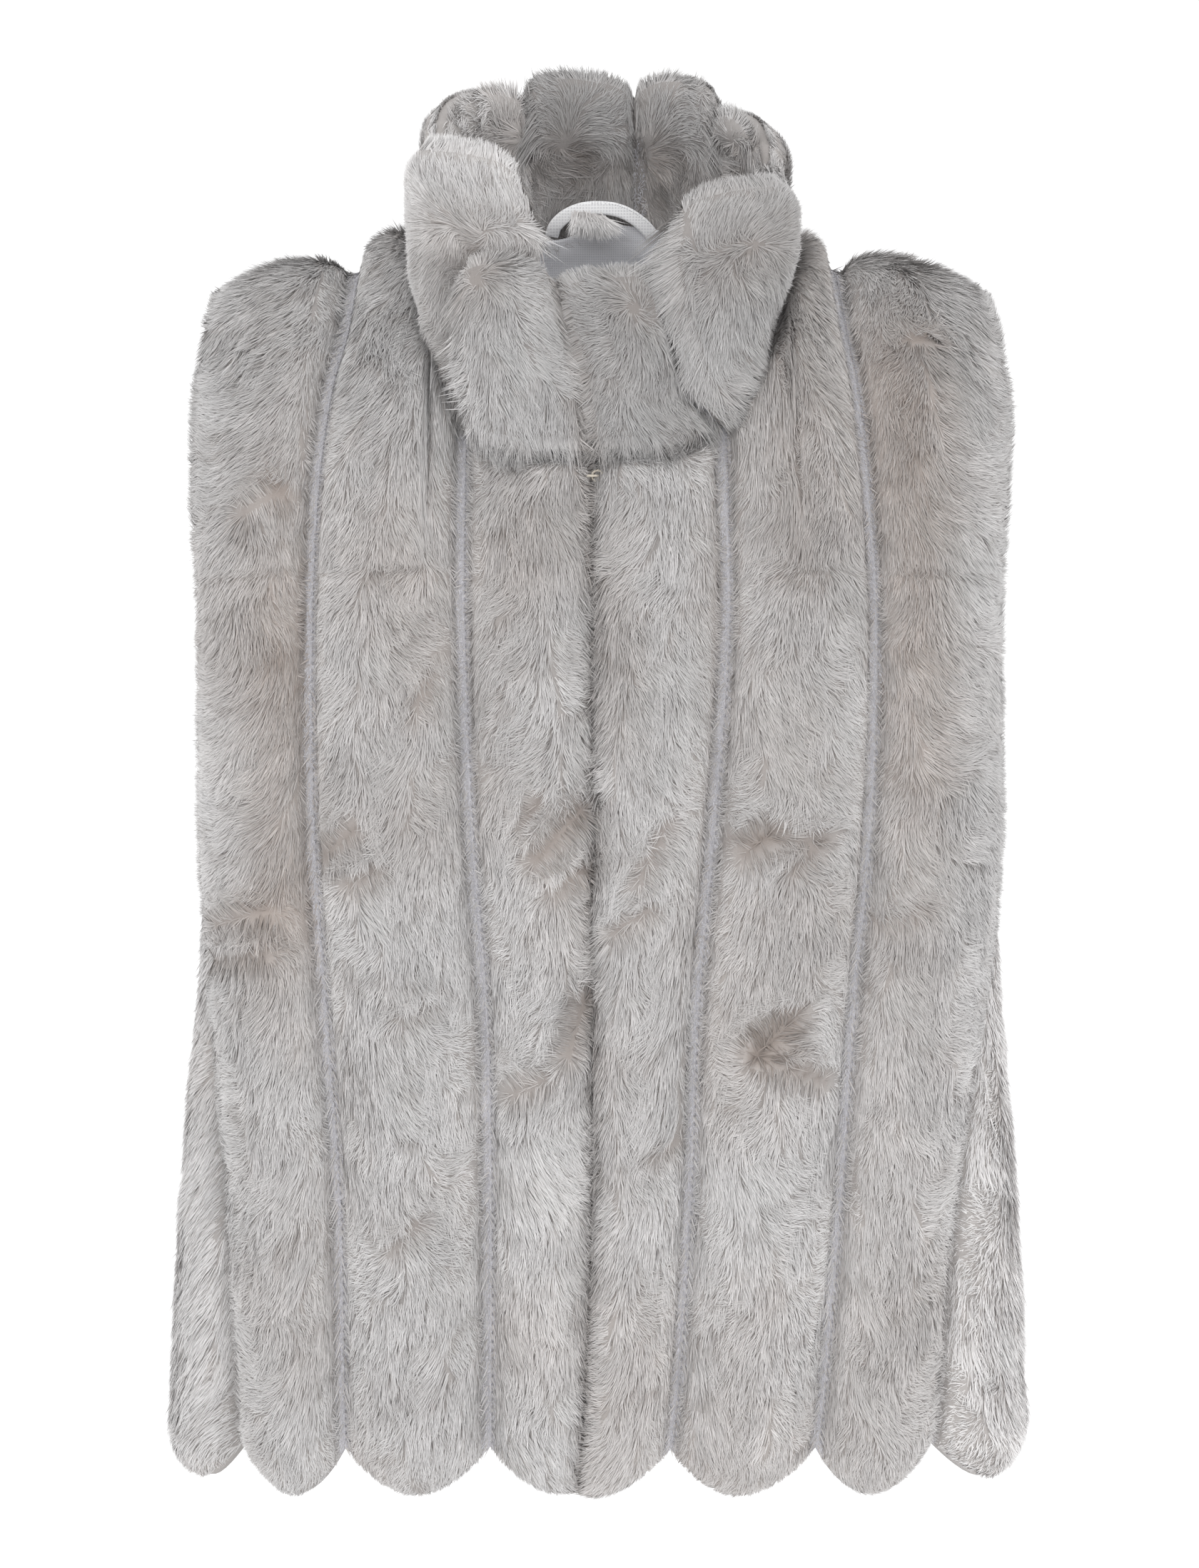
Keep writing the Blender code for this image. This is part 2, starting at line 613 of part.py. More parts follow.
def hanger_loop(material):
    """The twill strap that arches over the inner face of the collar at the back of the neck."""
    t = np.linspace(0, 1, LOOP_COLUMNS)
    arch = np.sin(np.pi * t) ** LOOP_ARCH_POWER
    turn = LOOP_TURNS[0] + (LOOP_TURNS[1] - LOOP_TURNS[0]) * t
    base = collar_base(turn)
    height = base[:, 2] + LOOP_FOOT + LOOP_RISE * arch
    wall, outside = collar_wall(turn, turn, base, (height - base[:, 2]) / COLLAR_HEIGHT, height)
    off = LOOP_SEAT + LOOP_STAND_OFF * arch
    centre = wall - outside * off[:, None]
    run = np.gradient(centre, axis=0)
    run /= np.linalg.norm(run, axis=1, keepdims=True)
    across = np.cross(run, outside)
    across /= np.linalg.norm(across, axis=1, keepdims=True)
    front = np.stack([centre - across * side - outside * LOOP_THICKNESS / 2
                      for side in (-LOOP_WIDTH / 2, 0, LOOP_WIDTH / 2)], axis=1)
    behind = front + outside[:, None, :] * LOOP_THICKNESS
    shares = np.array([0, 0.5, 1])
    return walled_solid("hanger_loop", front, behind, shares, shares, material)


def bent_wire(name, route, material):
    """A round wire along a route of points."""
    curve = bpy.data.curves.new(name, "CURVE")
    curve.dimensions = "3D"
    curve.bevel_depth = WIRE / 2 * MM
    curve.bevel_resolution = 1
    curve.use_fill_caps = True
    spline = curve.splines.new("POLY")
    spline.points.add(len(route) - 1)
    for point, place in zip(spline.points, route):
        point.co = (*(np.asarray(place) * MM), 1.0)
    curve.materials.append(material)
    made = bpy.data.objects.new(name, curve)
    COLLECTION.objects.link(made)
    return made


def hook_and_eye(material):
    """The one hook and eye that shows at the foot of the collar, over the meeting of the fronts."""
    middle_y = FASTENER_Y - HOOK_HALF_HEIGHT
    turns = np.radians(np.linspace(EYE_OPENING, 360 - EYE_OPENING, EYE_POINTS))
    centre_x = EYE_LEFT + EYE_RADIUS
    eye = [
        (centre_x + EYE_RADIUS * np.cos(turn), middle_y, FASTENER_Z + EYE_RADIUS * np.sin(turn))
        for turn in turns
    ]
    bent_wire("fur_eye", eye, material)
    bend = [
        (FASTENER_X + HOOK_HALF_HEIGHT * np.sin(turn), middle_y + HOOK_HALF_HEIGHT * np.cos(turn), FASTENER_Z)
        for turn in np.linspace(0, np.pi, HOOK_POINTS)
    ]
    long_end = (FASTENER_X - HOOK_LONG_ARM, FASTENER_Y, FASTENER_Z)
    short_end = (FASTENER_X - HOOK_SHORT_ARM, FASTENER_Y - 2 * HOOK_HALF_HEIGHT, FASTENER_Z)
    bent_wire("fur_hook", [long_end, *bend, short_end], material)


def build():
    fur = principled("fur", FUR_GREY, 0.9)
    collar = principled("collar_fur", COLLAR_GREY, 0.9)
    for row in BODY_PELTS:
        body_pelt(row, False, fur)
        body_pelt(row, True, fur)
    for side in (-1, 1):
        side_pelt(side, False, fur)
        side_pelt(side, True, fur)
    for row in COLLAR_PELTS:
        collar_pelt(row, collar)
    neck_lining(principled("woven_lining", LINING_GREY, 0.6))
    hanger_loop(principled("loop_twill", LOOP_GREY, 0.7))
    hook_and_eye(principled("steel", STEEL, 0.35, 1.0))


clear_scene()
COLLECTION = bpy.data.collections.new("faux_fur_vest")
bpy.context.scene.collection.children.link(COLLECTION)
build()
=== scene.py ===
import bpy
import numpy as np
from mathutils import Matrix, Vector


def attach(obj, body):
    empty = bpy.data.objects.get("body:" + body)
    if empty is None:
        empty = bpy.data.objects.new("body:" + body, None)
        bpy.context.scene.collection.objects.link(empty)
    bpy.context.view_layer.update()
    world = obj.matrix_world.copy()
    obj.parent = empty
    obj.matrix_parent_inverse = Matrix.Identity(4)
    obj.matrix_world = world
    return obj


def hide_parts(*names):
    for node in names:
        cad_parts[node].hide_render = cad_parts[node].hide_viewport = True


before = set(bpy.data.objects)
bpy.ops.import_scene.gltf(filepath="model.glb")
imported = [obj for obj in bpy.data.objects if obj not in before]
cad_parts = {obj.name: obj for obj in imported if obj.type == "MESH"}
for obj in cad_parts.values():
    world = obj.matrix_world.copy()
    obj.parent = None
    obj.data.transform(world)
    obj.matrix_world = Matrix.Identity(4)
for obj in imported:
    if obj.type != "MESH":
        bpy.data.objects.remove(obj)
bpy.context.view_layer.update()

MM = 0.001

# Sizes shared with the solids, in millimetres
SEAM_GAP = 0.3
BACKING = 2.5
PILE = 19.5
SHEARED_MARGIN = 4.5
ROLL_POWER = 2.25
HEM_THICKNESS = 7.0
HEM_ROUNDING = 22.0
NECK_TAPER_SLOPE = 0.8
SHOULDER_SLOPE = 0.31
SHOULDER_ROUNDING = 30.0
SCALLOP_DEPTH = 24.0
SCALLOP_POWER = 2.0
NECK_CENTRE_X = 4.0
NECK_CENTRE_Y = -14.0
NECK_HALF_WIDTH = 90.0
NECK_FRONT_DEPTH = 87.0
NECK_BACK_DEPTH = 77.0
NECK_SQUARENESS = 2.5
NECK_FRONT_SQUARENESS = {"left": 5.0, "right": 3.5}
COLLAR_PILE_OUT = 17.0
COLLAR_PILE_IN = 9.0
COLLAR_BACKING = 2.4
COLLAR_LIFTS = ((82.0, 14.0, 1.6), (262.0, 18.0, 0.6))
COLLAR_EDGE = 5.0
COLLAR_NARROWING = 0.055
COLLAR_SWAY = -5.0
COLLAR_HEIGHT = 105.0
COLLAR_ROUNDING = 16.0
COLLAR_PELT_WIDTH = 66.0
LAP_PRESSED = 5.8
LAP_PLAY = 1.6
LAP_TURNS = (-11.0, -1.5)
PRESSED_TURNS = (56.0, 43.0)
PRESSED_HEIGHTS = (22.0, 6.0)
UNDERARM_STATIONS = (4.2, 4.8)
UNDERARM_POWER = 3.0
UNDERARM_PILE = 0.1
UNDERARM_FADE = 2.6
SIDE_PELT_WIDTH = 72.0
SIDE_HEM = -648.0
SETTLING_ROUNDS = 12
STATION_LENGTH = 72.0
RIDGE_STATION_LENGTH = 33.0

COLUMNS = (
    "height", "slope_share", "half_width", "front_depth", "back_depth", "squareness",
    "left_edge", "left_outer", "left_inner", "centre", "right_inner", "right_outer", "right_edge",
)
# Plan of the vest at heights from the hem to the shoulder, with its seams
LEVELS = (
    (-665, 0.00, 212, 113, 109, 2.5, -182, -131, -57, -13, 30, 107, 168),
    (-600, 0.00, 211, 112, 107, 2.5, -182, -133, -57, -8, 39, 115, 171),
    (-500, 0.00, 207, 109, 102, 2.6, -187, -135, -57, -4, 46, 124, 179),
    (-400, 0.00, 204, 106, 97, 2.8, -194, -142, -59, -4, 50, 131, 192),
    (-300, 0.00, 206, 105, 95, 3.0, -200, -149, -67, -4, 59, 140, 201),
    (-200, 0.00, 211, 107, 98, 2.8, -201, -150, -71, -4, 66, 143, 201),
    (-120, 0.15, 219, 103, 99, 2.6, -205, -147, -71, -4, 65, 139, 206),
    (-60, 0.45, 221, 86, 95, 2.5, -206, -141, -69, -4, 63, 134, 208),
    (-20, 0.80, 221, 60, 84, 2.5, -206, -134, -67, -4, 62, 129, 208),
    (12, 0.95, 220, 32, 66, 2.5, -205, -130, -66, -4, 62, 125, 207),
    (24, 1.00, 219, 0, 0, 2.5, -203, -129, -66, -4, 62, 124, 205),
)
RIDGE = len(LEVELS) - 1
BACK_HEM = 2 * RIDGE

BODY_PELTS = (
    # name, from, to, edge at from, edge at to, lowest point of the hem scallop
    ("left_outer", "left_edge", "left_outer", "free", "seam", -653),
    ("left_middle", "left_outer", "left_inner", "seam", "seam", -651),
    ("left_centre", "left_inner", "centre", "seam", "meeting", -650),
    ("right_centre", "centre", "right_inner", "meeting", "seam", -652),
    ("right_middle", "right_inner", "right_outer", "seam", "seam", -651),
    ("right_outer", "right_outer", "right_edge", "seam", "free", -652),
)
# Kinds of edge: width of the flat margin, and how far the crown of the pile passes it
EDGES = {
    "seam": (SHEARED_MARGIN, 0.0),
    "meeting": (0.6, 0.012),
    "free": (0.6, 0.045),
}
COLLAR_PELTS = (
    # name, front edge, rear edge, rim at front edge, rim at middle, rim at rear edge
    ("left_end", "crease", "left_end_seam", -14, -1, -10),
    ("left_front", "left_front_edge", "left_front_seam", 48, 62, 52),
    ("left_side", "left_front_seam", "left_side_seam", 70, 100, 92),
    ("left_back", "left_side_seam", "back_seam", 100, 113, 98),
    ("right_back", "back_seam", "right_back_seam", 98, 111, 94),
    ("right_side", "right_back_seam", "right_side_seam", 82, 86, 58),
    ("right_front", "right_side_seam", "right_front_edge", 36, 42, 28),
    ("right_end", "right_end_seam", "crease", -10, -8, -16),
)
# Where the collar's seams run: heights, and degrees around the neck from the front
COLLAR_SEAMS = {
    "crease": ((-115, 3), (-72, 5), (-45, 9), (-14, 14)),
    "left_end_seam": ((-105, 35.5), (-60, 38.5), (-5, 39)),
    "left_front_edge": ((-110, 27), (3, 16.5), (20, 20.5), (52, 26)),
    "left_front_seam": ((-10, 97), (60, 97)),
    "left_side_seam": ((0, 157), (100, 157)),
    "back_seam": ((0, 189), (100, 189)),
    "right_back_seam": ((0, 225), (100, 223)),
    "right_side_seam": ((-10, 266), (60, 268)),
    "right_end_seam": ((-95, 326), (-74, 338), (-14, 348)),
    "right_front_edge": ((-95, 326), (-74, 338), (-14, 348), (4, 345), (34, 335)),
}

# Sizes of the dressing in millimetres, shares of the pile, rows and columns, and hairs to a square millimetre
SEAM_OVERLAP = 0.1
SKIN_SHARE = 0.86
ROOT_SHARE = 0.83
HEM_LIFT = 4.0
RIM_DROP = 5.0
FRONT_COLUMNS = 28
BACK_COLUMNS = 20
LAST_COMMON = 5.4  # station up to which the rows are nearly level
HEM_ROWS = 9
FRONT_ROWS = 96
BACK_ROWS = 40
TOP_ROWS = 24
SIDE_LAST_COMMON = 3.6
SIDE_COMMON_ROWS = 34
SIDE_TOP_ROWS = 10
COLLAR_COLUMNS = 20
COLLAR_ROWS = 26
HAIR_LENGTH = 12.0
HAIR_WIDTH = 0.8
EDGE_HOLD = 4.0  # how far from a free edge the tips stop falling with the pile
# How far hair may reach past an edge of each kind: at least, and at random more
OVERHANGS = {"lap": (1.0, 2.5), "free": (4.0, 6.0), "side": (0.0, 2.0)}
TUFT = (15.0, 26.0)  # width and height; a clump is a small tuft inside one
CLUMP = (5.0, 11.0)
TURN_OF_TUFT, TURN_OF_CLUMP, TURN_OF_HAIR = 1.15, 0.45, 0.15
CROSSING_ZONE = (11.0, 2.0)  # tufts this near the parting of the front may lie across it
CROSSING_REACH = 5.5
STRAY_SHARE, STRAY_LIFT = 0.06, 2.0
CREST_LIFT = (1.5, 4.0)
CLUMP_SHADE = 0.12
# dark flecks: dark hairs at random, and more of them at the tops of tufts as painted shade
FLECK_SHADE = 0.25
NECK_TIPS = 0.6  # share of the pile's height that the tips keep at the neck seam
NECK_FULLNESS = 2.0  # how much faster the pile rises from the neck seam than in the solids
# painted shade in the creases: darker, and browner, for each millimetre of depth
CREASE_SHADE = 0.055
CREASE_SHADE_BROWN = 0.16
CENTRE_SCALLOP = 0.62
HEM_POWER = 1.8
FRONT_DENSITY = 1.15
SIDE_DENSITY = 0.62
BACK_DENSITY = 0.40
COLLAR_DENSITY = 1.5
COLLAR_INNER_DENSITY = 0.95
EDGE_HAIR_REACH = 30.0
EDGE_HAIR_DENSITY = 1.6
NAP_DENSITY = 0.9
OVERHANG_DROP = 0.12  # how fast hair falls where it runs on past an edge

# The lining and the loop at the back of the neck
LINING_HALF_WIDTH = 56.0
LINING_COLUMNS = 57
LINING_ROWS = 30
LINING_CLIMB_ROWS = 12
LINING_OFF_WALL = 1.35
LINING_THICKNESS = 1.0
LINING_CLIMB = (3.0, 10.0)
LOOP_TURNS = (165.5, 192.5)
LOOP_WIDTH = 7.4
LOOP_THICKNESS = 1.3
STITCHED_STEPS = (22, 46)
STITCH_INSET = 1.3
LOOP_FOOT = 5.0
LOOP_RISE = 13.0
LOOP_SEAT = 4.3
LOOP_STAND_OFF = 10.0
# Fur under the loop: the line of its roots, and where it fans to
TUFT_UNDER_LOOP = (
    np.array([(-13.0, 47.0, 31.0), (3.0, 47.0, 28.0)]), np.array([(-17.0, 42.0, 13.0), (16.0, 42.0, 16.0)]),
)
# Creases pressed in the pile of the front: from x, z, to x, z, half width, depth
CREASES = (
    (80, -420, 99, -399, 4.0, 4.8),
    (80, -420, 112, -432, 3.6, 4.6),
    (88, -413, 98, -416, 6.0, 2.2),
    (74, -316, 90, -302, 3.8, 4.0),
    (62, -309, 112, -306, 4.0, 2.5),
    (98, -322, 108, -312, 3.5, 3.0),
    (-208, -373, -166, -366, 3.2, 3.8),
    (-190, -352, -164, -344, 4.0, 3.0),
    (-176, -138, -160, -127, 3.5, 4.0),
    (-140, -316, -124, -303, 4.0, 3.5),
    (-126, -330, -112, -322, 4.0, 3.0),
    (-33, -318, -9, -292, 4.5, 4.5),
    (-24, -334, -7, -322, 4.0, 3.5),
    (-38, -300, -30, -286, 3.5, 3.0),
    (8, -356, 26, -344, 4.5, 3.0),
    (20, -330, 34, -300, 4.0, 2.5),
    (-16, -420, -8, -392, 4.5, 3.5),
    (-94, -244, -88, -222, 4.0, 2.0),
    (-44, -440, -26, -432, 4.5, 2.5),
    (28, -470, 44, -462, 4.5, 2.0),
    (158, -54, 166, -58, 2.6, 3.0),
    (170, -50, 175, -56, 2.4, 2.5),
    (-100, -400, -86, -392, 4.0, 2.0),
    (-104, -520, -92, -506, 4.5, 2.0),
    (140, -350, 156, -342, 4.5, 2.0),
)
# Darker, browner patches of the coat on the front: x, z, radius across, radius up, strength
PATCHES = (
    (-160, -210, 16, 130, 0.5),
    (-158, -330, 14, 60, 0.4),
    (158, -215, 15, 130, 0.7),
    (150, -80, 30, 40, 0.45),
    (100, -120, 18, 90, 0.35),
    (-100, -180, 26, 80, 0.35),
    (12, -200, 14, 60, 0.35),
    (60, -170, 14, 60, 0.35),
    (-40, -160, 18, 40, 0.3),
    (85, -250, 30, 40, 0.3),
    (-100, -300, 30, 30, 0.25),
)
# Lightness of the coat at heights on the body, lowest first, and on the side pelts: partly the coat's own tone, partly
# painted light and shade, darker towards the top and lighter below; the side pelts are made lighter as painted light,
# the right one most, where less light reaches them
SHADE_HEIGHTS = (-660, -500, -350, -200, -100, 0, 40)
SHADES = (1.02, 1.01, 0.99, 0.97, 0.91, 0.86, 0.86)
SIDE_SHADES = {-1: 1.04, 1: 1.16}
LOW_LIGHT = 0.06  # painted light: how much lighter the lower middle and right of the body are than its left
# Collar tiles: lightness, which is painted light and shade set tile by tile to the light each gets, and the spot that
# the hair spreads from as shares across and up, outside and inside
COLLAR_LOOKS = {
    "left_end": (0.84, (0.80, 0.88), (0.5, 0.2)),
    "left_front": (1.05, (0.22, 0.60), (0.5, 0.2)),
    "left_side": (1.08, (0.50, 0.30), (0.95, 0.75)),
    "left_back": (0.68, (0.50, 0.30), (0.40, 0.50)),
    "right_back": (0.79, (0.50, 0.30), (0.05, 0.58)),
    "right_side": (0.90, (0.50, 0.30), (0.45, 0.55)),
    "right_front": (0.77, (0.70, 0.58), (0.5, 0.2)),
    "right_end": (0.71, (0.35, 0.80), (0.5, 0.2)),
}
# Collar edges whose fur is sheared back from the seam: outer face, inner face
COLLAR_GROOVES = {
    "right_end": ("front", None),
    "left_back": (None, "rear"), "right_back": (None, "front"),
}
COLLAR_ROLL = (63.0, 73.0)
VALLEY_WIDTH = 7.0  # of the parting down the middle of the front, where painted shade darkens and browns the coat
DIP = (0.30, 12.0)  # how much lower the pile is at that parting, and how wide
NOTCH_WIDTH = 11.0  # of the notches between the collar tiles' tops
HEART_WIDTH = 15.0  # of the darker spot that the collar's hair spreads from
CONTACT_SHADE = 0.45  # painted shadow: how dark fur gets where the lapped end of the collar lies on it
# the lower inside of the collar: darker and browner, partly painted shade and partly its own browner colour
INNER_SHADE = 0.26
INNER_BROWN = 0.45
RANDOM = np.random.default_rng(11)
evenly, about_zero = RANDOM.random, RANDOM.standard_normal  # from 0 to 1, and around 0


# The form, as in the solids

def paths_over_the_shoulder():
    table = {name: np.array([row[i] for row in LEVELS], float) for i, name in enumerate(COLUMNS)}
    paths = {name: np.concatenate([rows, rows[-2::-1]]) for name, rows in table.items()}
    paths["depth"] = np.concatenate([-table["front_depth"], table["back_depth"][-2::-1]])
    return paths


PATHS = paths_over_the_shoulder()


def level(column, s):
    rows = PATHS[column]
    last = len(rows) - 1
    s = np.clip(s, 0, last)
    i = np.minimum(np.floor(s).astype(int), last - 1)
    f = s - i
    a, b, c, d = rows[np.maximum(i - 1, 0)], rows[i], rows[i + 1], rows[np.minimum(i + 2, last)]
    return b + 0.5 * f * (c - a + f * (2 * a - 5 * b + 4 * c - d + f * (3 * (b - c) + d - a)))


def shell(x, s):
    square = level("squareness", s)
    reach = np.clip(np.abs(x) / level("half_width", s), 0, 0.9999)
    y = level("depth", s) * (1 - reach**square) ** (1 / square)
    fall = np.hypot(x, SHOULDER_ROUNDING) - SHOULDER_ROUNDING
    z = level("height", s) - level("slope_share", s) * SHOULDER_SLOPE * fall
    return np.stack(np.broadcast_arrays(x, y, z), axis=-1)


def side_shell(turn, s, side):
    angle = np.radians(turn)
    square = level("squareness", s)
    width = side * level("half_width", s) * np.cos(angle) ** (2 / square)
    deep = np.abs(np.sin(angle)) ** (2 / square)
    y = np.where(angle < 0, level("depth", s) * deep, level("depth", BACK_HEM - s) * deep)
    return np.stack(np.broadcast_arrays(width, y, level("height", s)), axis=-1)


def size_of(vectors):
    return np.linalg.norm(vectors, axis=-1)


def unit(vectors):
    return vectors / np.maximum(size_of(vectors)[..., None], 1e-9)


def outward(surface, u, s, step_u=0.5, step_s=0.01):
    along_u = surface(u + step_u, s) - surface(u - step_u, s)
    along_s = surface(u, s + step_s) - surface(u, s - step_s)
    return unit(np.cross(along_u, along_s))


def station_at(x, wanted, column):
    stations = np.linspace(0, BACK_HEM, 1201)
    found = []
    for one_x, one_wanted in zip(np.ravel(x), np.ravel(wanted)):
        points = shell(np.full_like(stations, one_x), stations)
        if column == "y":
            keep = (stations > RIDGE - 5) & (stations < RIDGE + 5)
            found.append(np.interp(one_wanted, points[keep, 1], stations[keep]))
        else:
            keep = stations <= RIDGE
            found.append(np.interp(one_wanted, points[keep, 2], stations[keep]))
    return np.array(found).reshape(np.shape(x))


def neck_squareness(to_left, to_front):
    front = np.where(to_left, NECK_FRONT_SQUARENESS["left"], NECK_FRONT_SQUARENESS["right"])
    return np.where(to_front, front, NECK_SQUARENESS)


def neck_plan(degrees):
    angle = np.radians(degrees)
    sine, cosine = np.sin(angle), np.cos(angle)
    across = np.abs(sine) ** (2 / NECK_SQUARENESS)
    along = np.abs(cosine) ** (2 / NECK_SQUARENESS)
    power = neck_squareness(sine > 0, cosine > 0)
    reach = (across**power + along**power) ** (1 / power)
    depth = np.where(cosine > 0, NECK_FRONT_DEPTH, NECK_BACK_DEPTH)
    x = NECK_CENTRE_X - NECK_HALF_WIDTH * np.sign(sine) * across / reach
    y = NECK_CENTRE_Y - depth * np.sign(cosine) * along / reach
    return x, y


def neck_ring(degrees):
    x, y = neck_plan(degrees)
    s = station_at(x, y, "y")
    return shell(x, s), outward(shell, x, s)


RING_POINTS = neck_ring(np.linspace(0, 360, 241))[0]


def neck_distance(points):
    flat = points.reshape(-1, 1, 3)
    gaps = size_of(flat - RING_POINTS[None])
    return gaps.min(axis=1).reshape(points.shape[:-1])


def neckline_station(x, at_back):
    reach = np.clip(np.abs(x - NECK_CENTRE_X) / NECK_HALF_WIDTH, 0, 1)
    power = neck_squareness(x < NECK_CENTRE_X, not at_back)
    half = (1 - reach**power) ** (1 / power)
    y = NECK_CENTRE_Y + half * (NECK_BACK_DEPTH if at_back else -NECK_FRONT_DEPTH)
    s = station_at(x, y, "y")
    s = np.maximum(s, RIDGE) if at_back else np.minimum(s, RIDGE)
    return np.where(reach < 1, s, RIDGE)


def roll(share, start, end):
    centred = np.clip(np.abs(2 * (share - start) / (end - start) - 1), 0, 1)
    return (1 - centred**ROLL_POWER) ** (1 / ROLL_POWER)


def end_rounding(distance):
    low = (HEM_THICKNESS - BACKING) / PILE
    away = np.clip(1 - distance / HEM_ROUNDING, 0, 1)
    return low + (1 - low) * np.sqrt(1 - away**2)


def neck_taper(points, normal):
    """The pile thins towards the neck seam, fast where the collar goes on in the same plane."""
    upright = smooth(size_of(normal[..., :2]), 0.6, 1.0)
    rise = (NECK_FULLNESS * NECK_TAPER_SLOPE + 5.0 * upright) * np.clip(neck_distance(points) - 1, 0, None)
    return np.tanh(rise / PILE)


def scallop(share, depth):
    centred = np.clip(np.abs(2 * share - 1), 0, 1)
    return depth * (1 - centred**SCALLOP_POWER) ** (1 / SCALLOP_POWER)


def across_shares(width, edge_from, edge_to, crown_columns):
    start = EDGES[edge_from][0] / width
    end = 1 - EDGES[edge_to][0] / width
    swing = np.linspace(0, np.pi, crown_columns)
    return np.concatenate([[0], start + (end - start) * (1 - np.cos(swing)) / 2, [1]])


def smooth(value, zero_at, one_at):
    share = np.clip((value - zero_at) / (one_at - zero_at), 0, 1)
    return share * share * (3 - 2 * share)


def hill(x, wide, y=0.0, tall=1.0):
    """Round hill of height 1."""
    return np.exp(-((x / wide) ** 2) - (y / tall) ** 2)


def travelled(point, axis):
    """Distance along a grid of points from its first row or column."""
    return size_of(np.diff(point, axis=axis, prepend=np.take(point, [0], axis=axis))).cumsum(axis=axis)


# Repeatable noise

def lattice(i, j, seed):
    n = (i.astype(np.int64) * 374761393 + j.astype(np.int64) * 668265263 + seed * 982451653) & 0xFFFFFFFF
    n = ((n ^ (n >> 13)) * 1274126177) & 0xFFFFFFFF
    return ((n ^ (n >> 16)) & 0xFFFF) / 65535.0


def noise(x, y, size, seed):
    """Smooth noise from -1 to 1 with lumps about size across."""
    x, y = x / size, y / size
    i, j = np.floor(x), np.floor(y)
    f, g = x - i, y - j
    f, g = f * f * (3 - 2 * f), g * g * (3 - 2 * g)
    low = lattice(i, j, seed) * (1 - f) + lattice(i + 1, j, seed) * f
    high = lattice(i, j + 1, seed) * (1 - f) + lattice(i + 1, j + 1, seed) * f
    return 2 * (low * (1 - g) + high * g) - 1


def blots(x, y, size, seed):
    """The hills alone of the noise, from 0 to 1."""
    return np.clip(noise(x, y, size, seed), 0, 1)


def press(x, z, creases):
    """How deep the creases press at each place, how near the worst is, and the way off it across and up."""
    depth, near = 0 * x, 0 * x
    away_x, away_z = 0 * x, 0 * x
    for x0, z0, x1, z1, wide, deep in creases:
        run_x, run_z = x1 - x0, z1 - z0
        length = np.hypot(run_x, run_z)
        along = np.clip(((x - x0) * run_x + (z - z0) * run_z) / length**2, 0, 1)
        off_x, off_z = x - x0 - along * run_x, z - z0 - along * run_z
        off = np.hypot(off_x, off_z)
        hollow = hill(off, wide)
        depth = depth + deep * hollow
        round_it = hill(off, 2.4 * wide) * min(1.0, deep / 4)
        away_x = away_x + round_it * off_x / np.maximum(off, 0.5)
        away_z = away_z + round_it * off_z / np.maximum(off, 0.5)
        near = np.maximum(near, round_it)
    return depth, near, away_x, away_z


def pelt_stations(bottom, top, last_common, common_rows, top_rows):
    """Stations of each row: close together at the hem, nearly level on the body, then up to the top."""
    near = (np.linspace(0, 1, HEM_ROWS + 1)[:-1] ** 1.5 * HEM_ROUNDING / STATION_LENGTH)[:, None]
    start = bottom + HEM_ROUNDING / STATION_LENGTH
    common = start + (last_common - start) * np.linspace(0, 1, common_rows)[:, None]
    upper = last_common + (top - last_common) * np.linspace(0, 1, top_rows + 1)[1:, None]
    return np.concatenate([bottom + near, common, upper])


# Coats: a grid of points on the cloth, its outward directions, the height of the pile's tips and
# the lie of the hair. Rows run from the lower end up, columns from the left edge of the piece.

def finish_coat(coat):
    point = coat["point"]
    coat["height"] = coat["base"] + coat["pile"]
    coat["tip"] = point + coat["normal"] * coat["height"][..., None]
    coat["across"] = np.gradient(coat["tip"], axis=1)
    coat["up"] = np.gradient(coat["tip"], axis=0)
    facing = unit(np.cross(coat["across"], coat["up"]))
    sign = np.sign(np.sum(facing * coat["normal"], axis=-1, keepdims=True))
    coat["facing"] = facing * np.where(sign == 0, 1, sign)
    coat["u"] = travelled(point, 1)
    coat["v"] = travelled(point, 0)
    coat["v"] = coat["v"].mean(axis=1, keepdims=True) + 0 * coat["v"]
    coat["up_wall"] = np.gradient(point, axis=0)
    coat["across_wall"] = unit(np.gradient(point, axis=1))
    plain = 0 * coat["share"]
    usual = {
        "hold": 0.0, "overlap": 0.0, "fringe": 1.0, "mottle": plain + 1, "tip_pile": coat["pile"], "creases": (),
        "nap": 1 - coat["grow"], "crest": plain,
    }
    for key, value in usual.items():
        coat.setdefault(key, value)
    columns = np.arange(point.shape[1])
    inward = np.interp([EDGE_HOLD, coat["u"][0, -1] - EDGE_HOLD], coat["u"][0], columns)
    first, last = (kind == "seam" for kind in coat["kinds"])
    coat["hold_columns"] = (0.0 if first else inward[0], columns[-1] * 1.0 if last else inward[1])
    return coat


def tufts(u, v, seed, size):
    """The uneven tuft that a place lies in: its two numbers, and how far across and up it the place is."""
    wide, tall = size
    across = (u + 0.45 * wide * noise(u, v, 1.5 * wide, seed)) / wide
    i = np.floor(across)
    wave = 0.45 * noise(u, v, 1.1 * tall, seed + 1) + 0.25 * noise(u, v, 0.4 * tall, seed + 3)
    up = v / tall + wave + 3.7 * lattice(i, 0 * i, seed + 2)
    j = np.floor(up)
    return i, j, across - i - 0.5, up - j


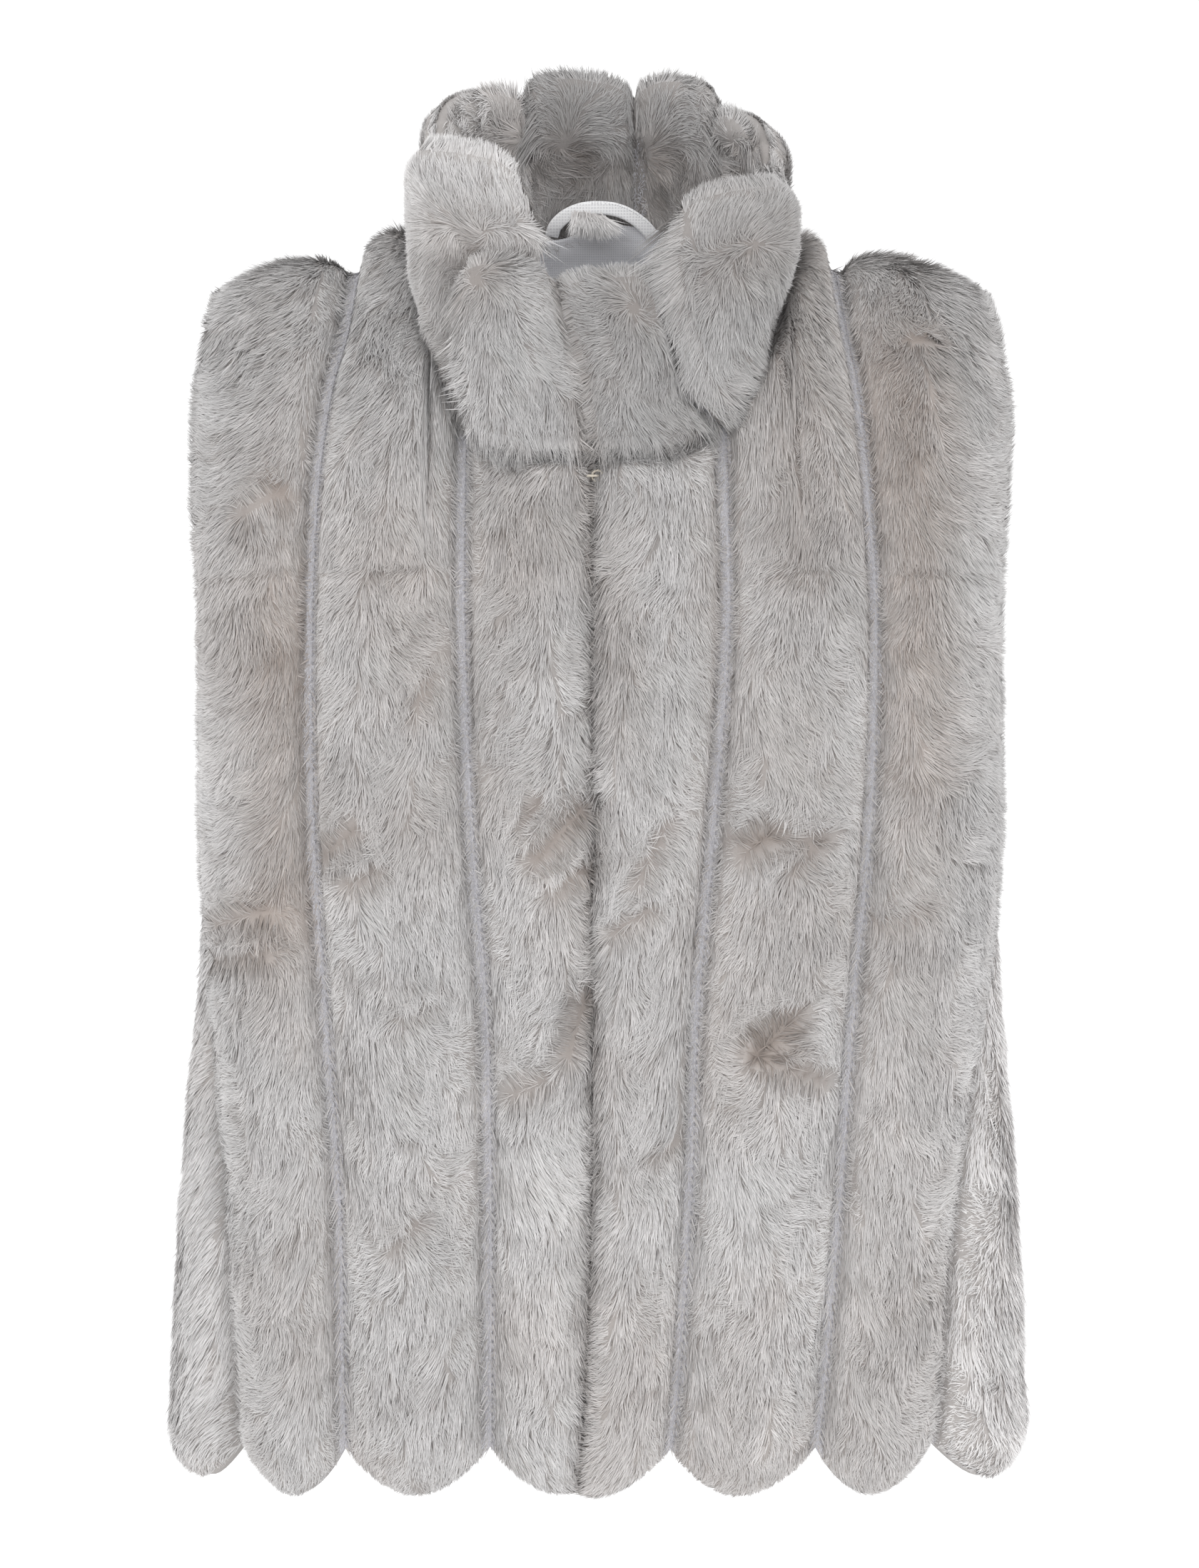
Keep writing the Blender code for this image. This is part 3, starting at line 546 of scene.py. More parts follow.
def lie_of_body_fur(point, share, lean_extra, seed):
    """Angle of the lie of the hair on an upright pelt: 0 is straight down, positive to the right."""
    x, z = point[..., 0], point[..., 2]
    centred = 2 * share - 1
    upper = smooth(z, -430, -120)
    angle = np.sign(centred) * np.abs(centred) ** 1.3 * (0.85 + 0.45 * upper) + lean_extra
    return angle + 0.45 * noise(x, z, 60, seed) + 0.50 * noise(x, z, 24, seed + 1)


def lumps(point, seed):
    x, z = point[..., 0] + 0.7 * point[..., 1], point[..., 2]
    return 1 + 0.070 * noise(x, z, 52, seed) + 0.060 * noise(x, z, 22, seed + 1) + 0.03 * noise(x, z, 10, seed + 2)


def body_shade(point, seed):
    x, z = point[..., 0] + 0.7 * point[..., 1], point[..., 2]
    # painted light and shade: the ramp by height, lighter again near the shoulder top, and lighter low in the middle
    # and right; the noise after it is the coat's own uneven tone
    ramp = np.interp(z, SHADE_HEIGHTS, SHADES) * (1 + 0.10 * smooth(z, -12, 18))
    ramp = ramp * (1 + LOW_LIGHT * smooth(point[..., 0], -90, -30) * smooth(-z, 330, 500))
    return ramp * (1 + 0.055 * noise(x, z, 34, seed) + 0.045 * noise(x, z, 13, seed + 1))


def margin_growth(share, start, end, kinds):
    """1 where the long hair grows; 0 on the sheared margins beside sewn seams."""
    grow = np.ones_like(share)
    for kind, inward, margin in zip(kinds, (share, 1 - share), (start, 1 - end)):
        if kind == "seam":
            grow = grow * smooth(inward, margin * 0.55, margin * 1.1)
    return grow


def hem_stations(x, low, shares):
    """Stations of a scalloped hem whose lowest point is low, at the places x."""
    notch = low + SCALLOP_DEPTH + HEM_LIFT
    return station_at(x, notch - SCALLOP_DEPTH * (1 - np.abs(2 * shares - 1) ** HEM_POWER), "z")


def body_coat(row, at_back, seed):
    name, edge_from, edge_to, kind_from, kind_to, low = row
    if at_back:
        kind_from, kind_to = (k.replace("meeting", "seam") for k in (kind_from, kind_to))
    width = float(np.mean(PATHS[edge_to] - PATHS[edge_from]))
    shares = across_shares(width, kind_from, kind_to, (BACK_COLUMNS if at_back else FRONT_COLUMNS) - 2)
    inset = -SEAM_OVERLAP / width

    def place(share, s):
        share = inset + share * (1 - 2 * inset)
        return level(edge_from, s) * (1 - share) + level(edge_to, s) * share

    across_hem = shares
    if not at_back and name == "left_centre":
        across_hem = CENTRE_SCALLOP * shares
    if not at_back and name == "right_centre":
        across_hem = 1 - CENTRE_SCALLOP * (1 - shares)
    hem = hem_stations(place(shares, np.full_like(shares, 0.4)), low, across_hem)
    top = np.full_like(shares, RIDGE)
    for _ in range(SETTLING_ROUNDS):
        top = neckline_station(place(shares, top), at_back)
    top = (BACK_HEM - top if at_back else top) - SEAM_GAP / 2 / RIDGE_STATION_LENGTH
    s = pelt_stations(hem, top, LAST_COMMON, BACK_ROWS if at_back else FRONT_ROWS, TOP_ROWS)
    s = BACK_HEM - s if at_back else s
    x = place(shares[None, :], s)
    point, normal = shell(x, s), outward(shell, x, s)
    from_hem = travelled(point, 0)
    start = EDGES[kind_from][0] / width - EDGES[kind_from][1]
    end = 1 - EDGES[kind_to][0] / width + EDGES[kind_to][1]
    pile = PILE * roll(shares, start, end)[None, :] * end_rounding(from_hem) * lumps(point, seed)
    parting_shade = 0.0
    to_meeting = None if at_back else {"left_centre": 1 - shares, "right_centre": shares}.get(name)
    if to_meeting is not None:
        parting_shade = hill(to_meeting * width, VALLEY_WIDTH)[None, :]
        pile = pile * (1 - DIP[0] * hill(to_meeting * width, DIP[1]))[None, :]
    at_neck = neck_taper(point, normal)
    tip_pile = pile * (NECK_TIPS + (1 - NECK_TIPS) * at_neck)
    pile = pile * at_neck
    px, pz = point[..., 0], point[..., 2]
    brown = 0.30 * blots(px, pz, 70, seed + 5) + 0.12 * blots(px, pz, 21, seed + 6)
    grid = shares[None, :] + 0 * s
    ridge = smooth(from_hem, from_hem[-1:] - 45, from_hem[-1:]) * (1 if name.endswith("outer") else 0.4)
    lean = {"left_outer": -0.35, "right_outer": 0.35}.get(name, 0.0)
    side = -1 if name.startswith("left") else 1
    angle = lie_of_body_fur(point, grid, lean + side * 0.9 * ridge, seed + 7)
    # painted shade along the parting down the middle of the front: darker and browner
    shade = body_shade(point, seed + 3) * (1 - 0.10 * parting_shade)
    brown = brown + 0.22 * parting_shade
    if not at_back:
        for x0, z0, wide, tall, strength in PATCHES:
            brown = brown + strength * hill(px - x0, wide, pz - z0, tall)
        depth = press(px, pz, CREASES)[0] * np.minimum(pile / 10, 1)
        pile, tip_pile = pile - depth, tip_pile - depth
        # painted shade in the creases: darker and browner
        shade = shade * (1 - CREASE_SHADE * depth)
        brown = brown + CREASE_SHADE_BROWN * depth
    return finish_coat({
        "point": point, "normal": normal, "base": BACKING, "pile": np.maximum(pile, 0), "share": grid,
        "tip_pile": np.maximum(tip_pile, 0),
        "angle": angle, "brown": brown, "shade": shade, "reach": 1 - 0.45 * smooth(from_hem, 20, 2),
        "grow": margin_growth(grid, start, end, (kind_from, kind_to)),
        "crest": 0.6 * smooth(from_hem, from_hem[-1:] - 14, from_hem[-1:]) - 0.3 * smooth(from_hem, 16, 0),
        "kinds": tuple(kind.replace("free", "side") for kind in (kind_from, kind_to)), "margins": (start, end),
        "creases": () if at_back else CREASES,
    })


def side_turn(x, s):
    reach = np.clip(np.abs(x) / level("half_width", s), 0, 0.9999)
    return np.degrees(np.arccos(reach ** (level("squareness", s) / 2)))


def side_coat(side, at_back, seed):
    edge = "left_edge" if side < 0 else "right_edge"
    width = SIDE_PELT_WIDTH
    shares = across_shares(width, "seam", "seam", BACK_COLUMNS - 2)
    inset = -SEAM_OVERLAP / width
    sign = 1 if at_back else -1

    def place(share, s):
        share = inset + share * (1 - 2 * inset)
        return sign * share * side_turn(level(edge, s), s)

    def surface(turn, s):
        return side_shell(turn, s, side)

    hem = hem_stations(np.zeros_like(shares), SIDE_HEM, shares)
    middle_top, edge_top = UNDERARM_STATIONS
    top = middle_top + (edge_top - middle_top) * shares**UNDERARM_POWER
    s = pelt_stations(hem, top, SIDE_LAST_COMMON, SIDE_COMMON_ROWS, SIDE_TOP_ROWS)
    turn = place(shares[None, :], s)
    point = surface(turn, s)
    normal = outward(surface, turn, s) * side
    from_hem = travelled(point, 0)
    start, end = EDGES["seam"][0] / width, 1 - EDGES["seam"][0] / width
    shorter = 1 - 0.45 * smooth(from_hem, 20, 2)
    fade = UNDERARM_PILE + (1 - UNDERARM_PILE) * smooth(top[None, :] - s, 0, UNDERARM_FADE)
    pile = PILE * roll(shares, start, end)[None, :] * end_rounding(from_hem) * fade
    pile = pile * lumps(point, seed)
    grid = shares[None, :] + 0 * s
    # the side pelts' lightness holds painted light, from SIDE_SHADES
    return finish_coat({
        "point": point, "normal": normal, "base": BACKING, "pile": pile, "share": grid,
        "angle": lie_of_body_fur(point, grid, 0.0, seed + 7) * side,
        "brown": 0.25 * blots(point[..., 1], point[..., 2], 60, seed + 5),
        "shade": SIDE_SHADES[side] * body_shade(point, seed + 3), "reach": (0.4 + 0.6 * fade + 0 * s) * shorter,
        "grow": margin_growth(grid, start, end, ("seam", "seam")),
        "crest": -0.3 * smooth(from_hem, 16, 0), "kinds": ("seam", "seam"), "margins": (start, end),
    })


def seam_angle(seam, height):
    heights, angles = np.array(COLLAR_SEAMS[seam], float).T
    return np.interp(height, heights, angles)


def turn_between(seams, heights, shares, width=COLLAR_PELT_WIDTH):
    front = seam_angle(seams[0], heights[0])
    rear = seam_angle(seams[1], heights[-1])
    if seams[1] == "crease":
        rear = rear + 360
    inset = -SEAM_OVERLAP / width
    share = inset + shares * (1 - 2 * inset)
    return front * (1 - share) + rear * share


def collar_base(turn):
    point, normal = neck_ring(turn)
    leaning = size_of(normal[:, :2])
    point = point + normal * (BACKING + SEAM_GAP + leaning * COLLAR_BACKING / 2)[:, None]
    for middle, spread, lift in COLLAR_LIFTS:
        point[:, 2] += lift * hill(turn - middle, spread)
    return point


def collar_wall(turn, turn_low, base, share_up, height):
    plan = np.stack(neck_plan(turn), axis=-1)
    risen = np.clip(height / COLLAR_HEIGHT, 0, 1)
    plan[:, 0] += risen * (COLLAR_SWAY - COLLAR_NARROWING * (plan[:, 0] - NECK_CENTRE_X))
    settle = np.reshape((1 - share_up) ** 2, (-1, 1))
    plan = plan + settle * (base[:, :2] - np.stack(neck_plan(turn_low), axis=-1))
    tangent = np.stack(neck_plan(turn + 0.5), axis=-1) - np.stack(neck_plan(turn - 0.5), axis=-1)
    normal = unit(np.column_stack([-tangent[:, 1], tangent[:, 0], np.zeros(len(turn))]))
    away = np.sign(np.sum(normal[:, :2] * (plan - [NECK_CENTRE_X, NECK_CENTRE_Y]), axis=1))
    return np.column_stack([plan, height]), normal * away[:, None]


def collar_coats(row, number):
    """The outer and the inner coat of one tile of the collar."""
    name, seam_front, seam_rear, rim_front, rim_middle, rim_rear = row
    seams, wide = (seam_front, seam_rear), COLLAR_PELT_WIDTH
    shares = across_shares(wide, "seam", "seam", COLLAR_COLUMNS - 2)
    rim = rim_front * (1 - shares) + rim_rear * shares
    rim = rim + (rim_middle - (rim_front + rim_rear) / 2) * scallop(shares, 1) - RIM_DROP
    low = np.full_like(shares, -60)
    for _ in range(SETTLING_ROUNDS):
        turn_low = turn_between(seams, low, shares)
        base = collar_base(turn_low)
        low = base[:, 2]
    ups = np.linspace(0, 1, COLLAR_ROWS) ** 0.9
    middle = np.zeros((len(ups), len(shares), 3))
    outside = np.zeros_like(middle)
    turns = np.zeros(middle.shape[:2])
    for r, up in enumerate(ups):
        height = low + up * (rim - low)
        turns[r] = turn_between(seams, height, shares)
        middle[r], outside[r] = collar_wall(turns[r], turn_low, base, up, height)
    climb = size_of(middle[-1] - middle[0])[None, :]
    from_seam = ups[:, None] * climb
    least = (COLLAR_EDGE - COLLAR_BACKING) / COLLAR_PILE_OUT
    bevel = np.clip(1 - (climb - from_seam) / COLLAR_ROUNDING, 0, 1)
    ending = least + (1 - least) * np.sqrt(1 - bevel**2)
    body_normal = neck_ring(turn_low)[1]
    upright = smooth(size_of(body_normal[:, :2]), 0.8, 0.97)[None, :]
    slope = NECK_TAPER_SLOPE + 5.0 * upright
    rising = np.tanh(slope * np.clip(from_seam - 1, 0, None) / PILE)
    half = COLLAR_BACKING / 2
    grid = shares[None, :] + 0 * turns
    rows_up = ups[:, None] + 0 * turns
    tile_light_and_shade, *hearts = COLLAR_LOOKS[name]
    grooves = COLLAR_GROOVES.get(name, (None, None))
    plain = ("back_seam", "crease")
    notch = hill(shares * wide, NOTCH_WIDTH) * (seam_front not in plain)
    notch = notch + hill((1 - shares) * wide, NOTCH_WIDTH) * (seam_rear not in plain)
    coats = []
    for face, (sign, depth, heart, groove) in enumerate(
        zip((1, -1), (COLLAR_PILE_OUT, COLLAR_PILE_IN), hearts, grooves)
    ):
        sheared, close, valley = (EDGES[kind][0] / wide - EDGES[kind][1] for kind in ("seam", "free", "meeting"))
        start = sheared if groove == "front" else valley if seam_front == "crease" else close
        end = 1 - (sheared if groove == "rear" else valley if seam_rear == "crease" else close)
        shown = (sign > 0) == ("front" in name or "end" in name)
        crest = (1.0 if shown else 0.3) * (1 + 1.6 * notch * ("side" in name or "back" in name))
        kinds = ["seam" if groove == "front" else "free", "seam" if groove == "rear" else "free"]
        if name == "left_end":
            kinds[1] = "lap"
        crown = roll(shares, start, end)[None, :] + 0 * turns
        grow = margin_growth(grid, start, end, kinds)
        rolled = smooth(middle[..., 2], *COLLAR_ROLL) * (sign < 0 and name.split("_")[1] in ("side", "back"))
        if sign < 0 and groove:
            crown = crown * (1 - rolled) + roll(shares, close, 1 - close)[None, :] * rolled
            grow = np.maximum(grow, rolled)
        pile = depth * crown * ending * rising * lumps(middle, 10 * number + face)
        pile = pile * (1 + 0.45 * rolled)
        lifted = 0 * pile
        if name == "left_end":
            past_edge = turns - seam_angle("left_front_edge", middle[..., 2])
            under = smooth(past_edge, *LAP_TURNS)
            lifted = under * (COLLAR_BACKING + LAP_PRESSED + SEAM_GAP)
            if sign < 0:
                pile = pile * (1 - under)
        lapped = name == "left_front" and sign > 0
        if lapped:
            under = smooth(turns, *PRESSED_TURNS) * smooth(middle[..., 2], *PRESSED_HEIGHTS)
            pile = pile * (1 - under) + np.minimum(pile, LAP_PRESSED - LAP_PLAY) * under
        lap_shadow, nap, inner_shade_mottle = 0 * turns, 1 - grow, 0 * turns
        if sign < 0 and "back" in name:
            bare = smooth(middle[..., 0], -22, -14) * smooth(from_seam, LINING_CLIMB[1] + 1.5, LINING_CLIMB[1] - 1.5)
            grow, nap = grow * (1 - bare), nap * (1 - bare)
        if lapped:
            beside = seam_angle("left_end_seam", middle[..., 2]) - turns
            grow = grow * (1 - smooth(beside, 0, 4) * smooth(middle[..., 2], -4, -12))
            lap_shadow = (0.5 * smooth(beside, -24, -6) + 0.5 * smooth(beside, -9, -2)) * smooth(middle[..., 2], 10, -4)
        across = (grid - heart[0]) * wide
        up = (rows_up - heart[1]) * climb
        angle = np.arctan2(across + 5 * noise(across, up, 20, number), -up + 5 * noise(up, across, 20, number))
        aside = across + 90 * number
        angle = angle + 0.30 * noise(aside, up, 26, number) + 0.22 * noise(aside, up, 12, number + 1)
        if lapped:
            clear = smooth(beside, -16, -4) * smooth(middle[..., 2], 14, 4)
            angle = angle * (1 - clear) + 0.3 * clear
        dark = hill(across, HEART_WIDTH, up, HEART_WIDTH)
        angle = angle + 2.4 * noise(across, up, 5, number + 6) * hill(across, 9, up, 9)
        # painted light and shade of the whole tile
        shade = tile_light_and_shade * (1 + 0.04 * noise(across, up, 22, number + 2)) * (1 - 0.10 * dark)
        brown = 0.35 * dark + 0.15 * blots(across, up, 30, number + 3)
        # painted shade along the crease at the front of the collar, as a browner tint
        for seam, share_there in ((seam_front, 0), (seam_rear, 1)):
            if seam == "crease":
                brown = brown + 0.45 * hill((grid - share_there) * wide, 8)
        # painted shadow beside the lapped end: darker and browner
        shade = shade * (1 - CONTACT_SHADE * lap_shadow)
        brown = brown + 0.3 * lap_shadow
        # painted light: the lapped end's outer face lighter towards its rear edge, where it stands over the tile behind
        if name == "left_end" and sign > 0:
            shade = shade * (1 + 0.12 * smooth(grid, 0.80, 0.97))
        if sign < 0:
            # the lower inside: painted shade, mottled, over a browner colour of its own
            below = (1 - rolled) * (0.65 + 0.55 * noise(across + 70 * number, up, 17, 77))
            inner_shade_mottle = below * smooth(rows_up, 0.0, 0.3)
            shade = shade * (1 - INNER_SHADE * inner_shade_mottle)
            brown = brown + INNER_BROWN * below
            angle = angle * rolled + (1.3 * noise(across + 50, up, 15, number + 4) + 0.5) * (1 - rolled)
        coats.append(finish_coat({
            "point": middle + outside * (sign * half + lifted)[..., None], "normal": sign * outside,
            "base": 0.0, "pile": pile, "share": grid, "angle": angle, "brown": brown, "shade": shade,
            "reach": 0 * turns + 1, "grow": grow, "nap": nap, "kinds": kinds, "margins": (start, end),
            "crest": smooth(bevel, 0.2, 1.0) * crest[None, :],
            "hold": (5.0 / climb.mean()) ** (1 / 0.9) * (COLLAR_ROWS - 1), "overlap": 3.0 if sign > 0 else 0.5,
            "fringe": 1.5 if name == "right_end" else 0.9, "mottle": 1 + 4.5 * inner_shade_mottle,
        }))
    return coats, middle


# Meshes

def mesh_object(name, points, corners, starts, materials, slots=None, tint=None):
    mesh = bpy.data.meshes.new(name)
    mesh.vertices.add(len(points))
    mesh.vertices.foreach_set("co", (points * MM).astype(np.float32).ravel())
    mesh.loops.add(len(corners))
    mesh.loops.foreach_set("vertex_index", corners.astype(np.int32))
    mesh.polygons.add(len(starts))
    mesh.polygons.foreach_set("loop_start", starts.astype(np.int32))
    if slots is not None:
        mesh.polygons.foreach_set("material_index", slots.astype(np.int32))
    mesh.update(calc_edges=True)
    mesh.shade_smooth()
    if tint is not None:
        layer = mesh.color_attributes.new("tint", "FLOAT_COLOR", "POINT")
        layer.data.foreach_set("color", tint.astype(np.float32).ravel())
    for material in materials:
        mesh.materials.append(material)
    made = bpy.data.objects.new(name, mesh)
    bpy.context.scene.collection.objects.link(made)
    return made


def skin(name, outer, inner, outer_tint, materials):
    """One closed body between an outer and an inner grid; the inner faces take the second material."""
    rows, wide = outer.shape[:2]
    loop = 2 * wide
    points = np.concatenate([outer, inner[:, ::-1]], axis=1).reshape(-1, 3)
    tint = np.concatenate([outer_tint, outer_tint[:, ::-1]], axis=1).reshape(-1, 4)
    k = np.arange(loop)
    after = (k + 1) % loop
    quads = []
    for row in range(rows - 1):
        here, above = row * loop, (row + 1) * loop
        quads.append(np.stack([here + k, here + after, above + after, above + k], axis=1))
    slots = [np.tile(np.where((k >= wide) & (k < loop - 1), 1, 0), rows - 1)]
    for row, flip in ((0, True), (rows - 1, False)):
        c = np.arange(wide - 1)
        base = row * loop
        cap = np.stack([base + c, base + c + 1, base + loop - 2 - c, base + loop - 1 - c], axis=1)
        quads.append(cap[:, ::-1] if flip else cap)
        slots.append(np.zeros(wide - 1, int))
    quads = np.concatenate(quads)
    return mesh_object(name, points, quads.ravel(), np.arange(len(quads)) * 4, materials, np.concatenate(slots), tint)


def sample(grid, row, column):
    """Value of a grid between its points."""
    row = np.clip(row, 0, grid.shape[0] - 1.0001)
    column = np.clip(column, 0, grid.shape[1] - 1.0001)
    i, j = row.astype(int), column.astype(int)
    f, g = row - i, column - j
    if grid.ndim == 3:
        f, g = f[:, None], g[:, None]
    low = grid[i, j] * (1 - g) + grid[i, j + 1] * g
    high = grid[i + 1, j] * (1 - g) + grid[i + 1, j + 1] * g
    return low * (1 - f) + high * f


def reader(coat, row, column):
    """Looks up what the coat is like at places between its points."""
    return lambda key: sample(coat[key], row, column)


def scatter(coat, density, weight):
    """Roots of the hairs as rows and columns of the coat's grid, as thick as the weight says."""
    tip = coat["tip"]
    a, b = tip[1:, :-1] - tip[:-1, :-1], tip[:-1, 1:] - tip[:-1, :-1]
    area = size_of(np.cross(a, b)) * (weight[1:, 1:] + weight[:-1, :-1]) / 2
    count = int(area.sum() * density)
    total = np.cumsum(area.ravel())
    wanted = (np.arange(count) + evenly(count)) / max(count, 1) * total[-1]
    cell = np.minimum(np.searchsorted(total, wanted), len(total) - 1)
    row, column = np.divmod(cell, area.shape[1])
    return row + evenly(count), column + evenly(count)


def place_on(coat, row, column, share_of_pile, lift, tips=True):
    """Points over the coat at a share of the pile's height; past an edge they run straight on."""
    rows, columns = coat["height"].shape
    row_in = np.clip(row, 0, rows - 1.001)
    column_in = np.clip(column, 0, columns - 1.001)
    at = reader(coat, row_in, column_in)
    beyond = np.where(row > rows - 1, 0.5, 1.0) * (row - row_in)
    stretch = size_of(at("up")) / np.maximum(size_of(at("up_wall")), 0.1)
    beyond = beyond * np.where((row < 0) & (coat["hold"] > 0), np.clip(stretch, 1, 3.5), 1)
    past = at("up_wall") * beyond[:, None]
    sideways = (column - column_in) * size_of(at("across"))
    past = past + at("across_wall") * sideways[:, None]
    if tips:
        pile = sample(coat["tip_pile"], np.maximum(row_in, coat["hold"]), np.clip(column_in, *coat["hold_columns"]))
    else:
        pile = at("pile")
    high = coat["base"] + pile * share_of_pile + lift - OVERHANG_DROP * size_of(past)
    return at("point") + at("normal") * high[:, None] + past


def blade(root, end, flat, width):
    """Flat tapering hairs, a triangle each, from root to end."""
    thick = width[:, None] * flat / 2
    return np.stack([root - thick, root + thick, end], axis=1)


def blades(coat, row, column, root, end, width):
    """Hairs with their width across the line of sight from outside."""
    facing = sample(coat["facing"], np.clip(row, 0, len(coat["share"]) - 1.01), column)
    run = unit(end - root)
    flat = unit(np.cross(run, facing))
    twist = 0.35 * about_zero(len(row))
    flat = flat * np.cos(twist)[:, None] + np.cross(run, flat) * np.sin(twist)[:, None]
    about_zero((len(row), 3))  # not used; it keeps the draws after it the same
    return blade(root, end, flat, width)


def tints(along, shade, brown, velvet):
    tint = np.zeros((len(shade), 3, 4))
    tint[..., 0] = np.array(along)
    tint[..., 1] = shade[:, None]
    tint[..., 2] = brown[:, None]
    tint[..., 3] = velvet
    return tint


def long_hairs(coat, density, length, width):
    """The long fur: hairs that lean together in tufts and clumps, and part at creases."""
    row, column = scatter(coat, density, coat["grow"])
    n, at = len(row), reader(coat, row, column)
    u, v, pile, seed = at("u"), at("v"), at("pile"), coat["seed"]
    i, j, _, up_tuft = tufts(u, v, seed, TUFT)
    k, l, off_clump, _ = tufts(u, v, seed + 4, CLUMP)
    angle = np.arctan2(*(sample(part(coat["angle"]), row, column) for part in (np.sin, np.cos)))
    angle = angle + TURN_OF_TUFT * (lattice(i, j, seed) - 0.5) + TURN_OF_CLUMP * (lattice(k, l, seed) - 0.5)
    angle = angle + TURN_OF_HAIR * about_zero(n)
    foot = at("point")
    if coat["creases"]:
        _, near, away_x, away_z = press(foot[:, 0], foot[:, 2], coat["creases"])
        go_x, go_z = np.sin(angle) * (1 - near) + 1.2 * away_x, -np.cos(angle) * (1 - near) + 1.2 * away_z
        angle = np.arctan2(go_x, -go_z)
    reach = length * (0.6 + 0.55 * evenly(n)) * (0.5 + 0.5 * smooth(pile, 0, 8)) * at("reach")
    at_foot = smooth(row, 2.5 * coat["hold"], 0) if coat["hold"] > 0 else 0.0
    reach = reach * (1 + (coat["fringe"] * lattice(i, j, seed + 10) * evenly(n)) * at_foot)
    step_u, step_v = (np.maximum(size_of(at(key)), 0.2) for key in ("across", "up"))
    pull = -off_clump * CLUMP[0] * (0.25 + 0.5 * evenly(n))
    end_column = column + (np.sin(angle) * reach + pull * np.cos(angle)) / step_u
    end_row = row - (np.cos(angle) * reach - pull * np.sin(angle)) / step_v
    last = coat["height"].shape[1] - 1
    fuzz = 0.35 + 0.75 * evenly(n)
    first_kind, last_kind = coat["kinds"]
    for kind, limit, edge, sign in ((first_kind, np.maximum, 0, -1), (last_kind, np.minimum, last, 1)):
        if kind in OVERHANGS:
            least, more = OVERHANGS[kind]
            end_column = limit(end_column, edge + sign * (least + more * evenly(n)) / step_u)
    crossing = 0 * u
    if "meeting" in coat["kinds"]:
        towards = 1 if last_kind == "meeting" else -1
        to_edge = sample(coat["u"], row, np.full(n, last * 1.0)) - u if towards > 0 else u
        crossing = smooth(to_edge, *CROSSING_ZONE) * smooth(lattice(i, j, seed + 11), 0.35, 0.6)
        end_column = end_column + towards * crossing * CROSSING_REACH / step_u
    (start, end), columns = coat["margins"], np.arange(last + 1)
    if first_kind == "seam":
        end_column = np.maximum(end_column, np.interp(start * fuzz, coat["share"][0], columns))
    if last_kind == "seam":
        end_column = np.minimum(end_column, np.interp(1 - (1 - end) * fuzz, coat["share"][0], columns))
    tuft_end = smooth(up_tuft, 0.45, 0.05)
    tuft_start = smooth(up_tuft, 0.72, 0.97) * lattice(i, j, seed + 9)
    lift = 1.0 * tuft_end * lattice(i, j, seed + 8) - 0.6 * tuft_start + 0.9 * (lattice(k, l, seed + 8) - 0.5)
    lift = (lift + 0.40 * about_zero(n) + 0.5) * smooth(pile, 0, 6)
    lift = lift + np.where(evenly(n) < STRAY_SHARE, STRAY_LIFT * evenly(n), 0) + 1.6 * crossing
    lift = lift + coat["overlap"] * at_foot
    root = place_on(coat, row, column, ROOT_SHARE, 0, False)
    end = place_on(coat, end_row, end_column, 1.0, lift)
    end[:, 2] += at("crest") * (CREST_LIFT[0] + CREST_LIFT[1] * evenly(n))
    points = blades(coat, row, column, root, end, width * (0.7 + 0.6 * evenly(n)))
    # the tops of tufts, under the tips of the tuft above, get painted shade: darker, browner and with more dark flecks
    fleck = (evenly(n) < 0.03 + 0.16 * tuft_start) * 1.0
    shade = at("shade") * (1 + 0.05 * about_zero(n))
    shade = shade * (1 + CLUMP_SHADE * at("mottle") * (lattice(k, l, seed + 9) - 0.5))
    shade = shade * (1 - 0.09 * tuft_start) * (1 - FLECK_SHADE * fleck)
    brown = at("brown") * (0.7 + 0.6 * evenly(n)) + 0.2 * tuft_start + 0.3 * fleck
    return points, tints((0.0, 0.0, 1.0), shade, brown, 0.0)


def nap_hairs(coat, density):
    """The short nap of the sheared margins."""
    row, column = scatter(coat, density, coat["nap"])
    n, at = len(row), reader(coat, row, column)
    angle = 0.6 * about_zero(n)
    step_u, step_v = (np.maximum(size_of(at(key)), 0.1) for key in ("across", "up"))
    reach = 1.6 + 1.4 * evenly(n)
    root = place_on(coat, row, column, SKIN_SHARE, -0.1, False)
    end = place_on(coat, row - np.cos(angle) * reach / step_v, column + np.sin(angle) * reach / step_u, 0.9, 0.7, False)
    points = blades(coat, row, column, root, end, 0.5 + 0.2 * evenly(n))
    shade = at("shade") * (1 + 0.04 * about_zero(n))
    return points, tints((0.3, 0.3, 0.9), shade, 0.3 * at("brown"), 1.0)


